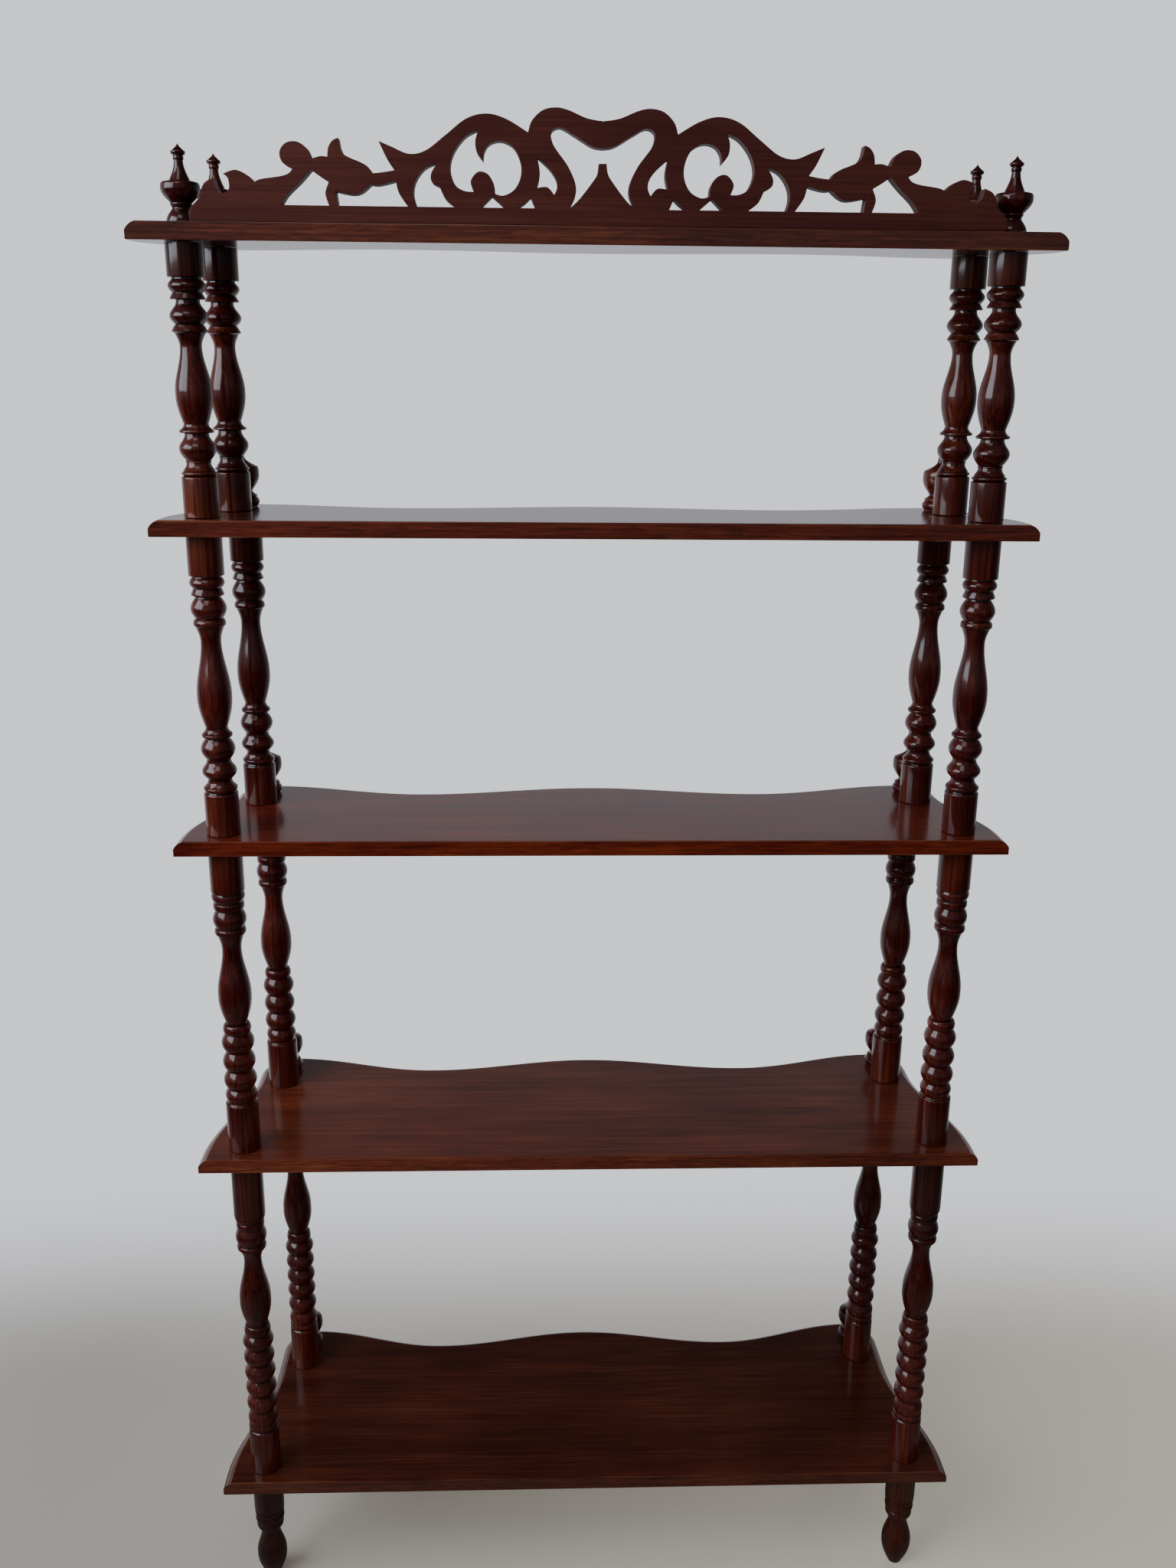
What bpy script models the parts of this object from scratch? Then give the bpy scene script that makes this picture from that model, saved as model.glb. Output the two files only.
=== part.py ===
"""An étagère of dark stained wood: serpentine shelves on turned posts, under a pierced fretwork crest.

The straight back edges of the shelves lie in one plane on the -Y side, and the shelves grow
deeper towards the floor, so the front posts step forward from tier to tier. Every turned piece
carries a round tenon on its lower end. A back tenon passes through its shelf into the socket
of the piece below, and at the front the finials do the same. Lengths are in metres.
"""
import math

import bmesh
import bpy
from mathutils import Vector

MM = 0.001

# Shelves, from the top of the étagère to the bottom
LEVELS = ("top", "upper", "middle", "lower", "bottom")
SHELF_WIDTH = 0.750
SHELF_THICKNESS = 0.014
TOP_SHELF_DEPTH = 0.109
FOOT_HEIGHT = 0.124
BAY_HEIGHT = {"top": 0.218, "upper": 0.268, "middle": 0.306, "lower": 0.362}

# Plan of a shelf: an S-shaped flank, a rounded front corner and a serpentine front
FLANK_DRAW_IN = 0.027
FLANK_START = 0.020
FLANK_END = 0.165
CORNER_RADIUS = 0.032
DIP_DISTANCE = 0.165
DIP_DEPTH = 0.029
BOW_SETBACK = 0.008
EDGE_CHAMFER_WIDTH = 0.0075
EDGE_CHAMFER_HEIGHT = 0.007
FLANK_STEPS = 5
CORNER_STEPS = 3
FRONT_STEPS = 4
SHORTEST_SIDE = 0.003

# Where the posts stand
BACK_POST_FROM_END = 0.040
BACK_POST_FROM_BACK = 0.026
FRONT_POST_FROM_FLANK = 0.029
FRONT_POST_FROM_FRONT = 0.028
FINIAL_TO_POST_GAP = {"upper": 0.0092, "middle": 0.0012, "lower": 0.0012, "bottom": 0.0012}

# Turned pieces and the tenons that join them
TURNED_SIDES = 8
ROUNDED_BELOW = 35
MERGE_DISTANCE = 1e-6
POST_RADIUS = 0.0153
FINIAL_RADIUS = 0.0155
TENON_RADIUS = 0.005
TENON_IN_SOCKET = 0.012
MORTISE_DEPTH = 0.010
FIT = 0.0003

# Height from a piece's lower end and depth cut below its full radius, both in mm, going up
POST_PATTERN = {
    "top": ((0, 0), (33, 0), (35, 2.7), (38, 0.5), (45, 5.7), (52, 1.4), (58, 0), (69, 5.5),
            (71, 1.2), (76, 5.4), (86, 1.6), (99, 0), (113, 1.4), (126, 5.0), (138, 6.3),
            (147, 3.9), (151, 0.8), (155, 3.8), (161, 0), (174, 5.6), (176, 1.0), (180, 3.1),
            (185, 0), (190, 3.3), (192, 0), (217, 0)),
    "upper": ((0, 0), (37, 0), (40, 2.0), (44, 0.5), (51, 4.7), (60, 0), (69, 4.8), (79, 0),
              (89, 4.8), (93, 2.3), (99, 5.8), (112, 1.6), (126, 0), (139, 1.0), (154, 3.6),
              (168, 6.2), (178, 6.5), (188, 3.9), (192, 1.4), (196, 3.5), (204, 0), (215, 4.2),
              (218, 1.3), (222, 2.8), (227, 0.4), (232, 2.9), (234, 0), (267, 0)),
    "middle": ((0, 0), (47, 0), (52, 1.9), (58, 0.5), (64, 3.5), (73, 0), (83, 4.0), (92, 0),
               (102, 4.0), (112, 0), (122, 4.0), (127, 2.3), (133, 5.5), (145, 1.6), (159, 0),
               (173, 0.9), (187, 3.2), (199, 5.8), (208, 6.4), (218, 4.6), (225, 1.1),
               (229, 2.7), (237, 0), (247, 3.5), (250, 1.2), (255, 2.7), (260, 0), (264, 2.5),
               (266, 0), (305, 0)),
    "lower": ((0, 0), (42, 0), (45, 1.8), (48, 0.5), (51, 1.8), (54, 0.5), (58, 1.8), (63, 0.5),
              (72, 3.6), (82, 0), (91, 4.3), (100, 0), (109, 4.3), (118, 0), (128, 4.3),
              (137, 0), (146, 4.3), (156, 0), (163, 4.6), (168, 2.4), (177, 5.2), (188, 1.0),
              (203, 0), (217, 0.8), (231, 3.2), (245, 6.1), (254, 6.6), (260, 4.8), (265, 1.1),
              (269, 2.8), (278, 0), (288, 3.4), (291, 1.7), (295, 3.0), (300, 0), (361, 0)),
}
FOOT_PATTERN = ((0, 8.8), (4, 6.0), (9, 3.6), (17, 1.0), (27, 0), (37, 1.0), (47, 3.2), (58, 6.0),
                (66, 1.6), (70, 2.6), (75, 0.4), (79, 1.8), (83, 0), (124, 0))

# The top finials carry a bud; those at the front of the other tiers have a wide base and a spire
TOP_FINIAL_HEIGHT = 0.060
TOP_FINIAL_PATTERN = ((0, 3.3), (6.5, 5.6), (10.8, 7.9), (14.5, 6.8), (20, 2.8), (26, 0), (30.3, 1.3),
                      (32, 7.4), (38.5, 10.4), (45.5, 11.9), (52.5, 9.7), (60, 15))
TIER_FINIAL_HEIGHT = 0.052
TIER_FINIAL_PATTERN = ((0, 2.5), (4.6, 0.9), (9, 3.1), (14, 6.7), (20, 2.2), (29, 0), (35.5, 1.6),
                       (39, 9.2), (43, 12.1), (52, 15))

# Crest: height and thickness, and the clear length between its end and the finial's axis
CREST_HEIGHT = 0.0853
CREST_THICKNESS = 0.014
CREST_SETBACK = 0.001
CREST_END_CLEARANCE = 0.011
CREST_CURVE_STEP = 9.0
DOWEL_RADIUS = 0.003
DOWEL_SIDES = 8
DOWEL_IN_CREST = 0.016
DOWEL_IN_SHELF = 0.009
DOWEL_STATIONS = {"far_left": -285, "left": -105, "centre": 0, "right": 105, "far_right": 285}

# The right half of the crest's outline as drawn, in mm from its centre and above the shelf.
# Each run is one smooth curve, and the outline has a sharp corner where two runs meet.
DRAWN_HALF_LENGTH = 324.0
DRAWN_HEIGHT = 85.3
BAND = 12.4
SPADE_FOOT = (25.6, 12.8)
CREST_EDGE = (
    ("end scroll", (323.4, 0), (324, 6), (321.5, 10.5), (315.2, 16.6)),
    ("shoulder", (315.2, 16.6), (313.6, 22.4), (310, 28.2), (303.6, 31.2)),
    ("hook notch", (303.6, 31.2), (301.6, 24), (296.5, 20.3), (291.8, 23.6), (292.1, 31),
     (295.8, 34.5)),
    ("small arch", (295.8, 34.5), (286.6, 37.4), (278.5, 34.7), (271.7, 28.8)),
    ("rising arm", (271.7, 28.8), (266.8, 31), (251.5, 33.3), (245, 35.4), (241.8, 38.7)),
    ("ball", (241.8, 38.7), (249.4, 43.2), (251.2, 51), (246, 57.1), (237.4, 57.6),
     (230.8, 52.1), (226.8, 46.2)),
    ("neck", (226.8, 46.2), (220, 48.1), (214.5, 47.8)),
    ("tulip back", (214.5, 47.8), (213.4, 54.6), (210, 59.4), (205.6, 61.4)),
    ("tulip front", (205.6, 61.4), (204.2, 53.9), (200.2, 48.8), (188.2, 43.9), (183, 40.8),
     (179.8, 36.3)),
    ("stem", (179.8, 36.3), (171.5, 37.2), (162.8, 38.7)),
    ("horn back", (162.8, 38.7), (168.2, 46.6), (174.5, 59.6)),
    ("long scroll", (174.5, 59.6), (164.6, 55.7), (151, 50.7), (138, 53.4), (122.8, 64.3),
     (106.3, 76.4), (90.5, 80.2), (75.3, 76.6), (58.5, 67.3)),
    ("centre scroll", (58.5, 67.3), (55.5, 75.6), (47.4, 83), (37.3, 85.3), (27.3, 83.6),
     (12.9, 78), (0, 75.9)),
)
CREST_OPENINGS = {
    "gap under the arm": (
        ((252, BAND), (246.6, 20), (236, 29.6), (227.7, 38.3)),
        ((227.7, 38.3), (221, 33.8), (214, 29.6)),
        ((214, 29.6), (217, 21.3), (214.5, BAND)),
    ),
    "gap under the stem": (
        ((207.6, BAND), (208.9, 22.7)),
        ((208.9, 22.7), (196, 20.6), (188.6, 22.4), (181.3, 28.1)),
        ((181.3, 28.1), (175, 27.8), (161.8, 30.9)),
        ((161.8, 30.9), (159.6, 22), (153, BAND)),
    ),
    "crescent": (
        ((129.3, 44.5), (139.4, 40), (146.4, 31), (148.3, 21.6), (146, BAND)),
        ((115.9, BAND), (123.4, 18.2), (127.7, 27)),
        ((127.7, 27), (133.6, 30.2), (134.3, 36.4), (129.3, 44.5)),
    ),
    "scroll eye": (
        ((96.7, 68.7), (107.2, 63.4), (116.3, 52), (119.3, 40), (115.5, 28.8), (108.4, 24.4),
         (101.3, 23.9)),
        ((101.3, 23.9), (103.4, 31.6), (97.6, 38.4), (90.2, 37), (85.4, 30), (84.4, 22.5)),
        ((84.4, 22.5), (77.6, 21.4), (69.2, 25.9), (64.4, 35), (64.4, 45.4), (69.6, 56),
         (79.1, 60.7), (88, 58.8), (92.6, 52.8), (93.3, 45.9)),
        ((93.3, 45.9), (98.6, 53), (99.4, 61.4), (96.7, 68.7)),
    ),
    "outer triangle": (
        ((95.3, BAND), (86.8, 20.5)),
        ((86.8, 20.5), (77.1, BAND)),
    ),
    "inner triangle": (
        ((66.4, BAND), (61.2, 15.6), (56.4, 20)),
        ((56.4, 20), (53, BAND)),
    ),
    "leaf": (
        ((51.1, 49.2), (41.6, 40.8), (36.6, 33.4), (35.8, 27.6), (37.9, 22.4)),
        ((37.9, 22.4), (43.4, 27.9), (51.3, 27.3)),
        ((51.3, 27.3), (49.2, 38), (51.1, 49.2)),
    ),
}
# The opening on the centre line: its right half, from its top to the top of the spade
SPADE_OPENING = (
    ("under the double scroll", (0, 56.3), (9.2, 58), (23.7, 66.2), (33.6, 71), (40.2, 67.6),
     (38.4, 58.2), (27.4, 43.6), (21.4, 31), (21.2, 22), SPADE_FOOT),
    ("spade flank", SPADE_FOOT, (18.4, 19.2), (8.6, 31.2), (4.3, 37.8), (3.1, 45.4)),
)

STAINS = {
    "shelf_wood": ((0.105, 0.028, 0.020), 0.22),
    "turned_wood": ((0.085, 0.012, 0.012), 0.20),
    "crest_wood": ((0.090, 0.020, 0.016), 0.42),
    "dowel_wood": ((0.420, 0.260, 0.130), 0.60),
}


def clear_scene():
    """Remove whatever the file holds."""
    for thing in list(bpy.data.objects):
        bpy.data.objects.remove(thing, do_unlink=True)


def wood(slot):
    """Return the stained finish of that name, made once."""
    known = bpy.data.materials.get(slot)
    if known:
        return known
    colour, roughness = STAINS[slot]
    material = bpy.data.materials.new(slot)
    material.use_nodes = True
    shader = material.node_tree.nodes["Principled BSDF"]
    shader.inputs["Base Color"].default_value = (*colour, 1.0)
    shader.inputs["Roughness"].default_value = roughness
    shader.inputs["Metallic"].default_value = 0.0
    material.diffuse_color = (*colour, 1.0)
    return material


def mesh_from(bm, name, slot, rounded=True):
    """Close the bmesh into a mesh that wears its wood, shaded smooth if it is rounded."""
    bmesh.ops.recalc_face_normals(bm, faces=bm.faces)
    mesh = bpy.data.meshes.new(name)
    bm.to_mesh(mesh)
    bm.free()
    mesh.materials.append(wood(slot))
    if rounded:
        mesh.shade_smooth()
        mesh.set_sharp_from_angle(angle=math.radians(ROUNDED_BELOW))
    return mesh


def place(name, mesh, location, parent):
    """Put an object made of the mesh in the scene."""
    piece = bpy.data.objects.new(name, mesh)
    bpy.context.collection.objects.link(piece)
    piece.location = location
    piece.parent = parent
    return piece


def turned_bmesh(profile, sides):
    """Turn a profile of (radius, height) pairs, bottom to top, into a closed round body."""
    bm = bmesh.new()
    line = [bm.verts.new((radius, 0.0, height)) for radius, height in profile]
    edges = [bm.edges.new(pair) for pair in zip(line, line[1:])]
    bmesh.ops.spin(bm, geom=line + edges, cent=(0, 0, 0), axis=(0, 0, 1),
                   angle=math.tau, steps=sides, use_duplicate=False)
    bmesh.ops.remove_doubles(bm, verts=bm.verts, dist=MERGE_DISTANCE)
    return bm


def rod_bmesh(radius, low, high, sides):
    """Return a plain round rod between two heights."""
    return turned_bmesh(((0, low), (radius, low), (radius, high), (0, high)), sides)


def cut_with(target, name, rods):
    """Cut round holes out of a piece; rods holds (x, y, radius, low, high, sides) in its frame."""
    bm = bmesh.new()
    for x, y, radius, low, high, sides in rods:
        one = rod_bmesh(radius, low, high, sides)
        bmesh.ops.translate(one, verts=one.verts, vec=(x, y, 0))
        bmesh.ops.recalc_face_normals(one, faces=one.faces)
        part = bpy.data.meshes.new(name)
        one.to_mesh(part)
        one.free()
        bm.from_mesh(part)
        bpy.data.meshes.remove(part)
    mesh = bpy.data.meshes.new(name)
    bm.to_mesh(mesh)
    bm.free()
    cutter = place(name, mesh, (0, 0, 0), target)
    cutter.hide_render = True
    cutter.display_type = "WIRE"
    cut = target.modifiers.new("holes", "BOOLEAN")
    cut.operation = "DIFFERENCE"
    cut.solver = "EXACT"
    cut.object = cutter


def half_wave(start, end, steps):
    """Return the points of half a cosine wave from start to end, flat at both."""
    points = []
    for step in range(1, steps + 1):
        share = step / steps
        swing = (1 - math.cos(math.pi * share)) / 2
        points.append((start[0] + (end[0] - start[0]) * share,
                       start[1] + (end[1] - start[1]) * swing))
    return points


def shelf_underside(level):
    """Return a shelf's height: the feet, and the bays and shelves below it."""
    below = LEVELS[LEVELS.index(level):-1]
    return FOOT_HEIGHT + sum(BAY_HEIGHT[each] + SHELF_THICKNESS for each in below)


def shelf_depth(level):
    """Return a shelf's depth: each is deeper by a post, a finial and the gap between them."""
    below_top = LEVELS[1:LEVELS.index(level) + 1]
    return TOP_SHELF_DEPTH + sum(POST_RADIUS + FINIAL_RADIUS + FINIAL_TO_POST_GAP[each]
                                 for each in below_top)


def shelf_half_outline(depth):
    """Return the right half of a shelf's plan, from its back corner to the middle of its front."""
    end = SHELF_WIDTH / 2
    waist = end - FLANK_DRAW_IN
    flank_end = min(FLANK_END, depth - CORNER_RADIUS - EDGE_CHAMFER_WIDTH / 2)
    flank = half_wave((FLANK_START, end), (flank_end, waist), FLANK_STEPS)
    points = [(end, 0.0), (end, FLANK_START)]
    points += [(x, y) for y, x in flank]
    centre_x = waist - CORNER_RADIUS
    centre_y = depth - CORNER_RADIUS
    for step in range(0 if centre_y - flank_end > SHORTEST_SIDE else 1, CORNER_STEPS + 1):
        angle = math.pi / 2 * step / CORNER_STEPS
        points.append((centre_x + CORNER_RADIUS * math.cos(angle),
                       centre_y + CORNER_RADIUS * math.sin(angle)))
    dip = (DIP_DISTANCE, depth - DIP_DEPTH)
    points += half_wave((centre_x, depth), dip, FRONT_STEPS)
    points += half_wave(dip, (0.0, depth - BOW_SETBACK), FRONT_STEPS)
    return points


def inset(points, width):
    """Move an outline's right half inwards; its first point slides along the back edge."""
    moved = [(points[0][0] - width, points[0][1])]
    for before, here, after in zip(points, points[1:], points[2:] + [(-points[-2][0], points[-2][1])]):
        along = Vector((after[0] - before[0], after[1] - before[1])).normalized()
        moved.append((here[0] - along.y * width, here[1] + along.x * width))
    return moved


def whole_outline(half):
    """Mirror a right half that ends on the centre line into a full outline."""
    return half + [(-x, y) for x, y in reversed(half[:-1])]


def shelf_bmesh(depth):
    """Loft a shelf: a square lower edge, and a chamfer round its flanks and front."""
    half = shelf_half_outline(depth)
    lower = whole_outline(half)
    upper = whole_outline(inset(half, EDGE_CHAMFER_WIDTH))
    waist_height = SHELF_THICKNESS - EDGE_CHAMFER_HEIGHT
    bm = bmesh.new()
    rings = []
    for outline, height in ((lower, 0.0), (lower, waist_height), (upper, SHELF_THICKNESS)):
        rings.append([bm.verts.new((x, y, height)) for x, y in outline])
    count = len(lower)
    for below, above in zip(rings, rings[1:]):
        for index in range(count):
            following = (index + 1) % count
            bm.faces.new((below[index], below[following], above[following], above[index]))
    bm.faces.new(reversed(rings[0]))
    bm.faces.new(rings[-1])
    return bm


def front_post_x():
    """Return how far the front posts stand from the centre line."""
    return SHELF_WIDTH / 2 - FLANK_DRAW_IN - FRONT_POST_FROM_FLANK


def back_post_x():
    """Return how far the back posts stand from the centre line."""
    return SHELF_WIDTH / 2 - BACK_POST_FROM_END


def front_post_y(level):
    """Return how far the post under a shelf stands from the back edge."""
    return shelf_depth(level) - FRONT_POST_FROM_FRONT


def make_shelf(level, parent):
    """Make one shelf with its through holes, mortises and, on the top one, dowel holes."""
    mesh = mesh_from(shelf_bmesh(shelf_depth(level)), "shelf_" + level, "shelf_wood", False)
    back_y = -shelf_depth("bottom") / 2
    shelf = place("shelf_" + level, mesh, (0, back_y, shelf_underside(level)), parent)
    hole = TENON_RADIUS + FIT
    past = SHELF_THICKNESS
    mortise = SHELF_THICKNESS - MORTISE_DEPTH
    rods = []
    for side in (-1, 1):
        back = (side * back_post_x(), BACK_POST_FROM_BACK)
        front = (side * front_post_x(), front_post_y(level))
        for x, y in (back, front):
            rods.append((x, y, hole, -past, SHELF_THICKNESS + past, TURNED_SIDES))
        if level != "top":
            above = LEVELS[LEVELS.index(level) - 1]
            rods.append((side * front_post_x(), front_post_y(above), hole, mortise,
                         SHELF_THICKNESS + past, TURNED_SIDES))
    if level == "top":
        for x, y in dowel_places().values():
            rods.append((x, y, DOWEL_RADIUS + FIT, SHELF_THICKNESS - DOWEL_IN_SHELF - FIT,
                         SHELF_THICKNESS + past, DOWEL_SIDES))
    cut_with(shelf, "cutter_shelf_" + level, rods)
    return shelf


def with_tenon(outside, tenon_length, socket_depth):
    """Add a tenon under a turned outside, and a socket in its top where it has a depth."""
    top = outside[-1][1]
    tenon = [(0, -tenon_length), (TENON_RADIUS, -tenon_length), (TENON_RADIUS, 0)]
    if not socket_depth:
        return tenon + outside + [(0, top)]
    hole = TENON_RADIUS + FIT
    return tenon + outside + [(hole, top), (hole, top - socket_depth), (0, top - socket_depth)]


def stretched(pattern, length):
    """Stretch a pattern of heights in mm to a length, keeping what it says at each height."""
    drawn = pattern[-1][0]
    return [(height * length / drawn, value * MM) for height, value in pattern]


def through_tenon():
    """Return the length of a tenon that passes through a shelf into the piece below."""
    return FIT + SHELF_THICKNESS + FIT + TENON_IN_SOCKET


def post_mesh(level, row):
    """Make the post that holds up a shelf; the row says how its lower end is fixed."""
    length = BAY_HEIGHT[level] - 2 * FIT
    outside = [(POST_RADIUS - cut, height)
               for height, cut in stretched(POST_PATTERN[level], length)]
    tenon = through_tenon() if row == "back" else MORTISE_DEPTH
    profile = with_tenon(outside, tenon, TENON_IN_SOCKET + FIT)
    name = "post_%s_%s" % (level, row)
    return mesh_from(turned_bmesh(profile, TURNED_SIDES), name, "turned_wood")


def foot_mesh():
    """Make a pear-shaped foot with a flat sole and a socket in its top."""
    length = FOOT_HEIGHT - FIT
    outside = [(POST_RADIUS - cut, height) for height, cut in stretched(FOOT_PATTERN, length)]
    hole = TENON_RADIUS + FIT
    floor = length - TENON_IN_SOCKET - FIT
    profile = [(0, 0)] + outside + [(hole, length), (hole, floor), (0, floor)]
    return mesh_from(turned_bmesh(profile, TURNED_SIDES), "foot", "turned_wood")


def finial_mesh(name, pattern, height):
    """Make a finial: a ringed base and a shouldered ball under its bud or spire."""
    outside = [(FINIAL_RADIUS - cut, up) for up, cut in stretched(pattern, height)]
    profile = with_tenon(outside, through_tenon(), 0)
    return mesh_from(turned_bmesh(profile, TURNED_SIDES), name, "turned_wood")


def smooth_run(points, spacing):
    """Return points along a Catmull-Rom curve through the points, all but the last."""
    ends = [points[0], *points, points[-1]]
    run = []
    for before, start, end, after in zip(ends, ends[1:], ends[2:], ends[3:]):
        steps = max(1, round(math.dist(start, end) / spacing))
        for step in range(steps):
            t = step / steps
            run.append(tuple(
                0.5 * (2 * s + (e - b) * t + (2 * b - 5 * s + 4 * e - a) * t ** 2
                       + (3 * s - b - 3 * e + a) * t ** 3)
                for b, s, e, a in zip(before, start, end, after)))
    return run


def crest_loops():
    """Return the crest's outline and openings as closed loops, scaled to their real size."""
    half = []
    for _, *points in CREST_EDGE:
        half += smooth_run(points, CREST_CURVE_STEP)
    loops = [whole_outline(half + [CREST_EDGE[-1][-1]])]
    spade = []
    for _, *points in SPADE_OPENING:
        spade += smooth_run(points, CREST_CURVE_STEP)
    spade.append(SPADE_OPENING[-1][-1])
    loops.append(spade + [(-x, z) for x, z in reversed(spade[1:])])
    for runs in CREST_OPENINGS.values():
        loop = []
        for points in runs:
            loop += smooth_run(points, CREST_CURVE_STEP)
            loop.append(points[-1])
        loop = [point for index, point in enumerate(loop) if point != loop[index - 1]]
        loops.append(loop)
        loops.append([(-x, z) for x, z in loop])
    scale_x = (back_post_x() - CREST_END_CLEARANCE) / DRAWN_HALF_LENGTH
    scale_z = CREST_HEIGHT / DRAWN_HEIGHT
    return [[(x * scale_x, z * scale_z) for x, z in loop] for loop in loops]


def crest_mesh():
    """Fill the crest's pierced outline and give it its thickness."""
    bm = bmesh.new()
    for loop in crest_loops():
        verts = [bm.verts.new((x, 0.0, z)) for x, z in loop]
        for vert, following in zip(verts, verts[1:] + verts[:1]):
            bm.edges.new((vert, following))
    filled = bmesh.ops.triangle_fill(bm, use_beauty=True, use_dissolve=False, edges=bm.edges)
    face = [item for item in filled["geom"] if isinstance(item, bmesh.types.BMFace)]
    grown = bmesh.ops.extrude_face_region(bm, geom=face)
    verts = [item for item in grown["geom"] if isinstance(item, bmesh.types.BMVert)]
    bmesh.ops.translate(bm, verts=verts, vec=(0, CREST_THICKNESS, 0))
    return mesh_from(bm, "crest", "crest_wood")


def dowel_places():
    """Return the places of the crest's dowels in the plan of the shelf."""
    reach = back_post_x() - CREST_END_CLEARANCE
    y = CREST_SETBACK + CREST_THICKNESS / 2
    return {spot: (station / DRAWN_HALF_LENGTH * reach, y)
            for spot, station in DOWEL_STATIONS.items()}


def make_crest(parent):
    """Stand the crest on the back edge of the top shelf, on hidden dowels."""
    back_y = -shelf_depth("bottom") / 2
    top = shelf_underside("top") + SHELF_THICKNESS
    crest = place("crest", crest_mesh(), (0, back_y + CREST_SETBACK, top + FIT), parent)
    rods = [(x, y - CREST_SETBACK, DOWEL_RADIUS + FIT, -DOWEL_IN_CREST, DOWEL_IN_CREST + FIT,
             DOWEL_SIDES) for x, y in dowel_places().values()]
    cut_with(crest, "cutter_crest", rods)
    pin = rod_bmesh(DOWEL_RADIUS, -DOWEL_IN_SHELF, DOWEL_IN_CREST, DOWEL_SIDES)
    dowel = mesh_from(pin, "crest_dowel", "dowel_wood")
    for spot, (x, y) in dowel_places().items():
        place("crest_dowel_" + spot, dowel, (x, back_y + y, top), parent)


def make_turned_pieces(parent):
    """Stand the feet, posts and finials at the corners of every tier."""
    back_y = -shelf_depth("bottom") / 2
    foot = foot_mesh()
    top_finial = finial_mesh("top_finial", TOP_FINIAL_PATTERN, TOP_FINIAL_HEIGHT)
    tier_finial = finial_mesh("tier_finial", TIER_FINIAL_PATTERN, TIER_FINIAL_HEIGHT)
    sides = (("left", -1), ("right", 1))
    for level in LEVELS:
        surface = shelf_underside(level) + SHELF_THICKNESS + FIT
        rows = {"back": (back_post_x(), back_y + BACK_POST_FROM_BACK),
                "front": (front_post_x(), back_y + front_post_y(level))}
        for row, (x, y) in rows.items():
            if level == "bottom":
                mesh, base = foot, 0.0
            else:
                below = LEVELS[LEVELS.index(level) + 1]
                mesh = post_mesh(level, row)
                base = shelf_underside(below) + SHELF_THICKNESS + FIT
            for side, sign in sides:
                name = "foot" if level == "bottom" else "post_" + level
                place("%s_%s_%s" % (name, row, side), mesh, (sign * x, y, base), parent)
                if row == "front" or level == "top":
                    finial = top_finial if level == "top" else tier_finial
                    place("finial_%s_%s_%s" % (level, row, side), finial,
                          (sign * x, y, surface), parent)


def main():
    """Build the étagère."""
    clear_scene()
    root = bpy.data.objects.new("etagere", None)
    bpy.context.collection.objects.link(root)
    for level in LEVELS:
        make_shelf(level, root)
    make_turned_pieces(root)
    make_crest(root)


main()
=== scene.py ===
"""Looks of a turned wood shelf: serpentine boards on turned posts, under a pierced crest.

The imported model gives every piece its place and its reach. This script turns the posts,
feet and finials finely on a Geometry Nodes lathe, shapes the boards with their eased
arrises, saws the crest, and gives each its stained and lacquered wood. Lengths are in metres,
and in millimetres in the tables of a turner's marks and of the crest's drawing.
"""
import math
from collections import namedtuple

import bmesh
import bpy
from bpy.props import FloatProperty, FloatVectorProperty, IntProperty, PointerProperty
from mathutils import Matrix, Vector


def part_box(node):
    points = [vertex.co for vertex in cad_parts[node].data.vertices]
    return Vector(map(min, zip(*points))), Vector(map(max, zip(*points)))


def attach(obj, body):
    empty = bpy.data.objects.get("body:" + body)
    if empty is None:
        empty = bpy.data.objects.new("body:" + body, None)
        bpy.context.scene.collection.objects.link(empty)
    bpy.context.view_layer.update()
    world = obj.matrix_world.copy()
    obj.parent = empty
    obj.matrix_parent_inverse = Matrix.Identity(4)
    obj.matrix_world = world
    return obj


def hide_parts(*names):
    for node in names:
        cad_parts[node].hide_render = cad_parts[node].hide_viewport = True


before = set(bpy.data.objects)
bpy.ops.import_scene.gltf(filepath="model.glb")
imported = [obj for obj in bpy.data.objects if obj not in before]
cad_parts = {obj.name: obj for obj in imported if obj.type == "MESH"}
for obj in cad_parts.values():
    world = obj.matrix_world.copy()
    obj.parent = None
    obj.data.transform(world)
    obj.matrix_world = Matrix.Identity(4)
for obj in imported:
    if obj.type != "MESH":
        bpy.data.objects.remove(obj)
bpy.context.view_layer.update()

bl_info = {
    "name": "Turned wood shelf",
    "version": (1, 0, 0),
    "blender": (4, 5, 0),
    "location": "3D View > Sidebar > Turned wood shelf",
    "description": "Makes the boards, turnings and crest of an open shelf and its studio",
    "category": "Object",
}

MM = 0.001
BODY = "root"

LEVELS = ("top", "upper", "middle", "lower", "bottom")
CORNERS = ("back_left", "back_right", "front_left", "front_right")

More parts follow.
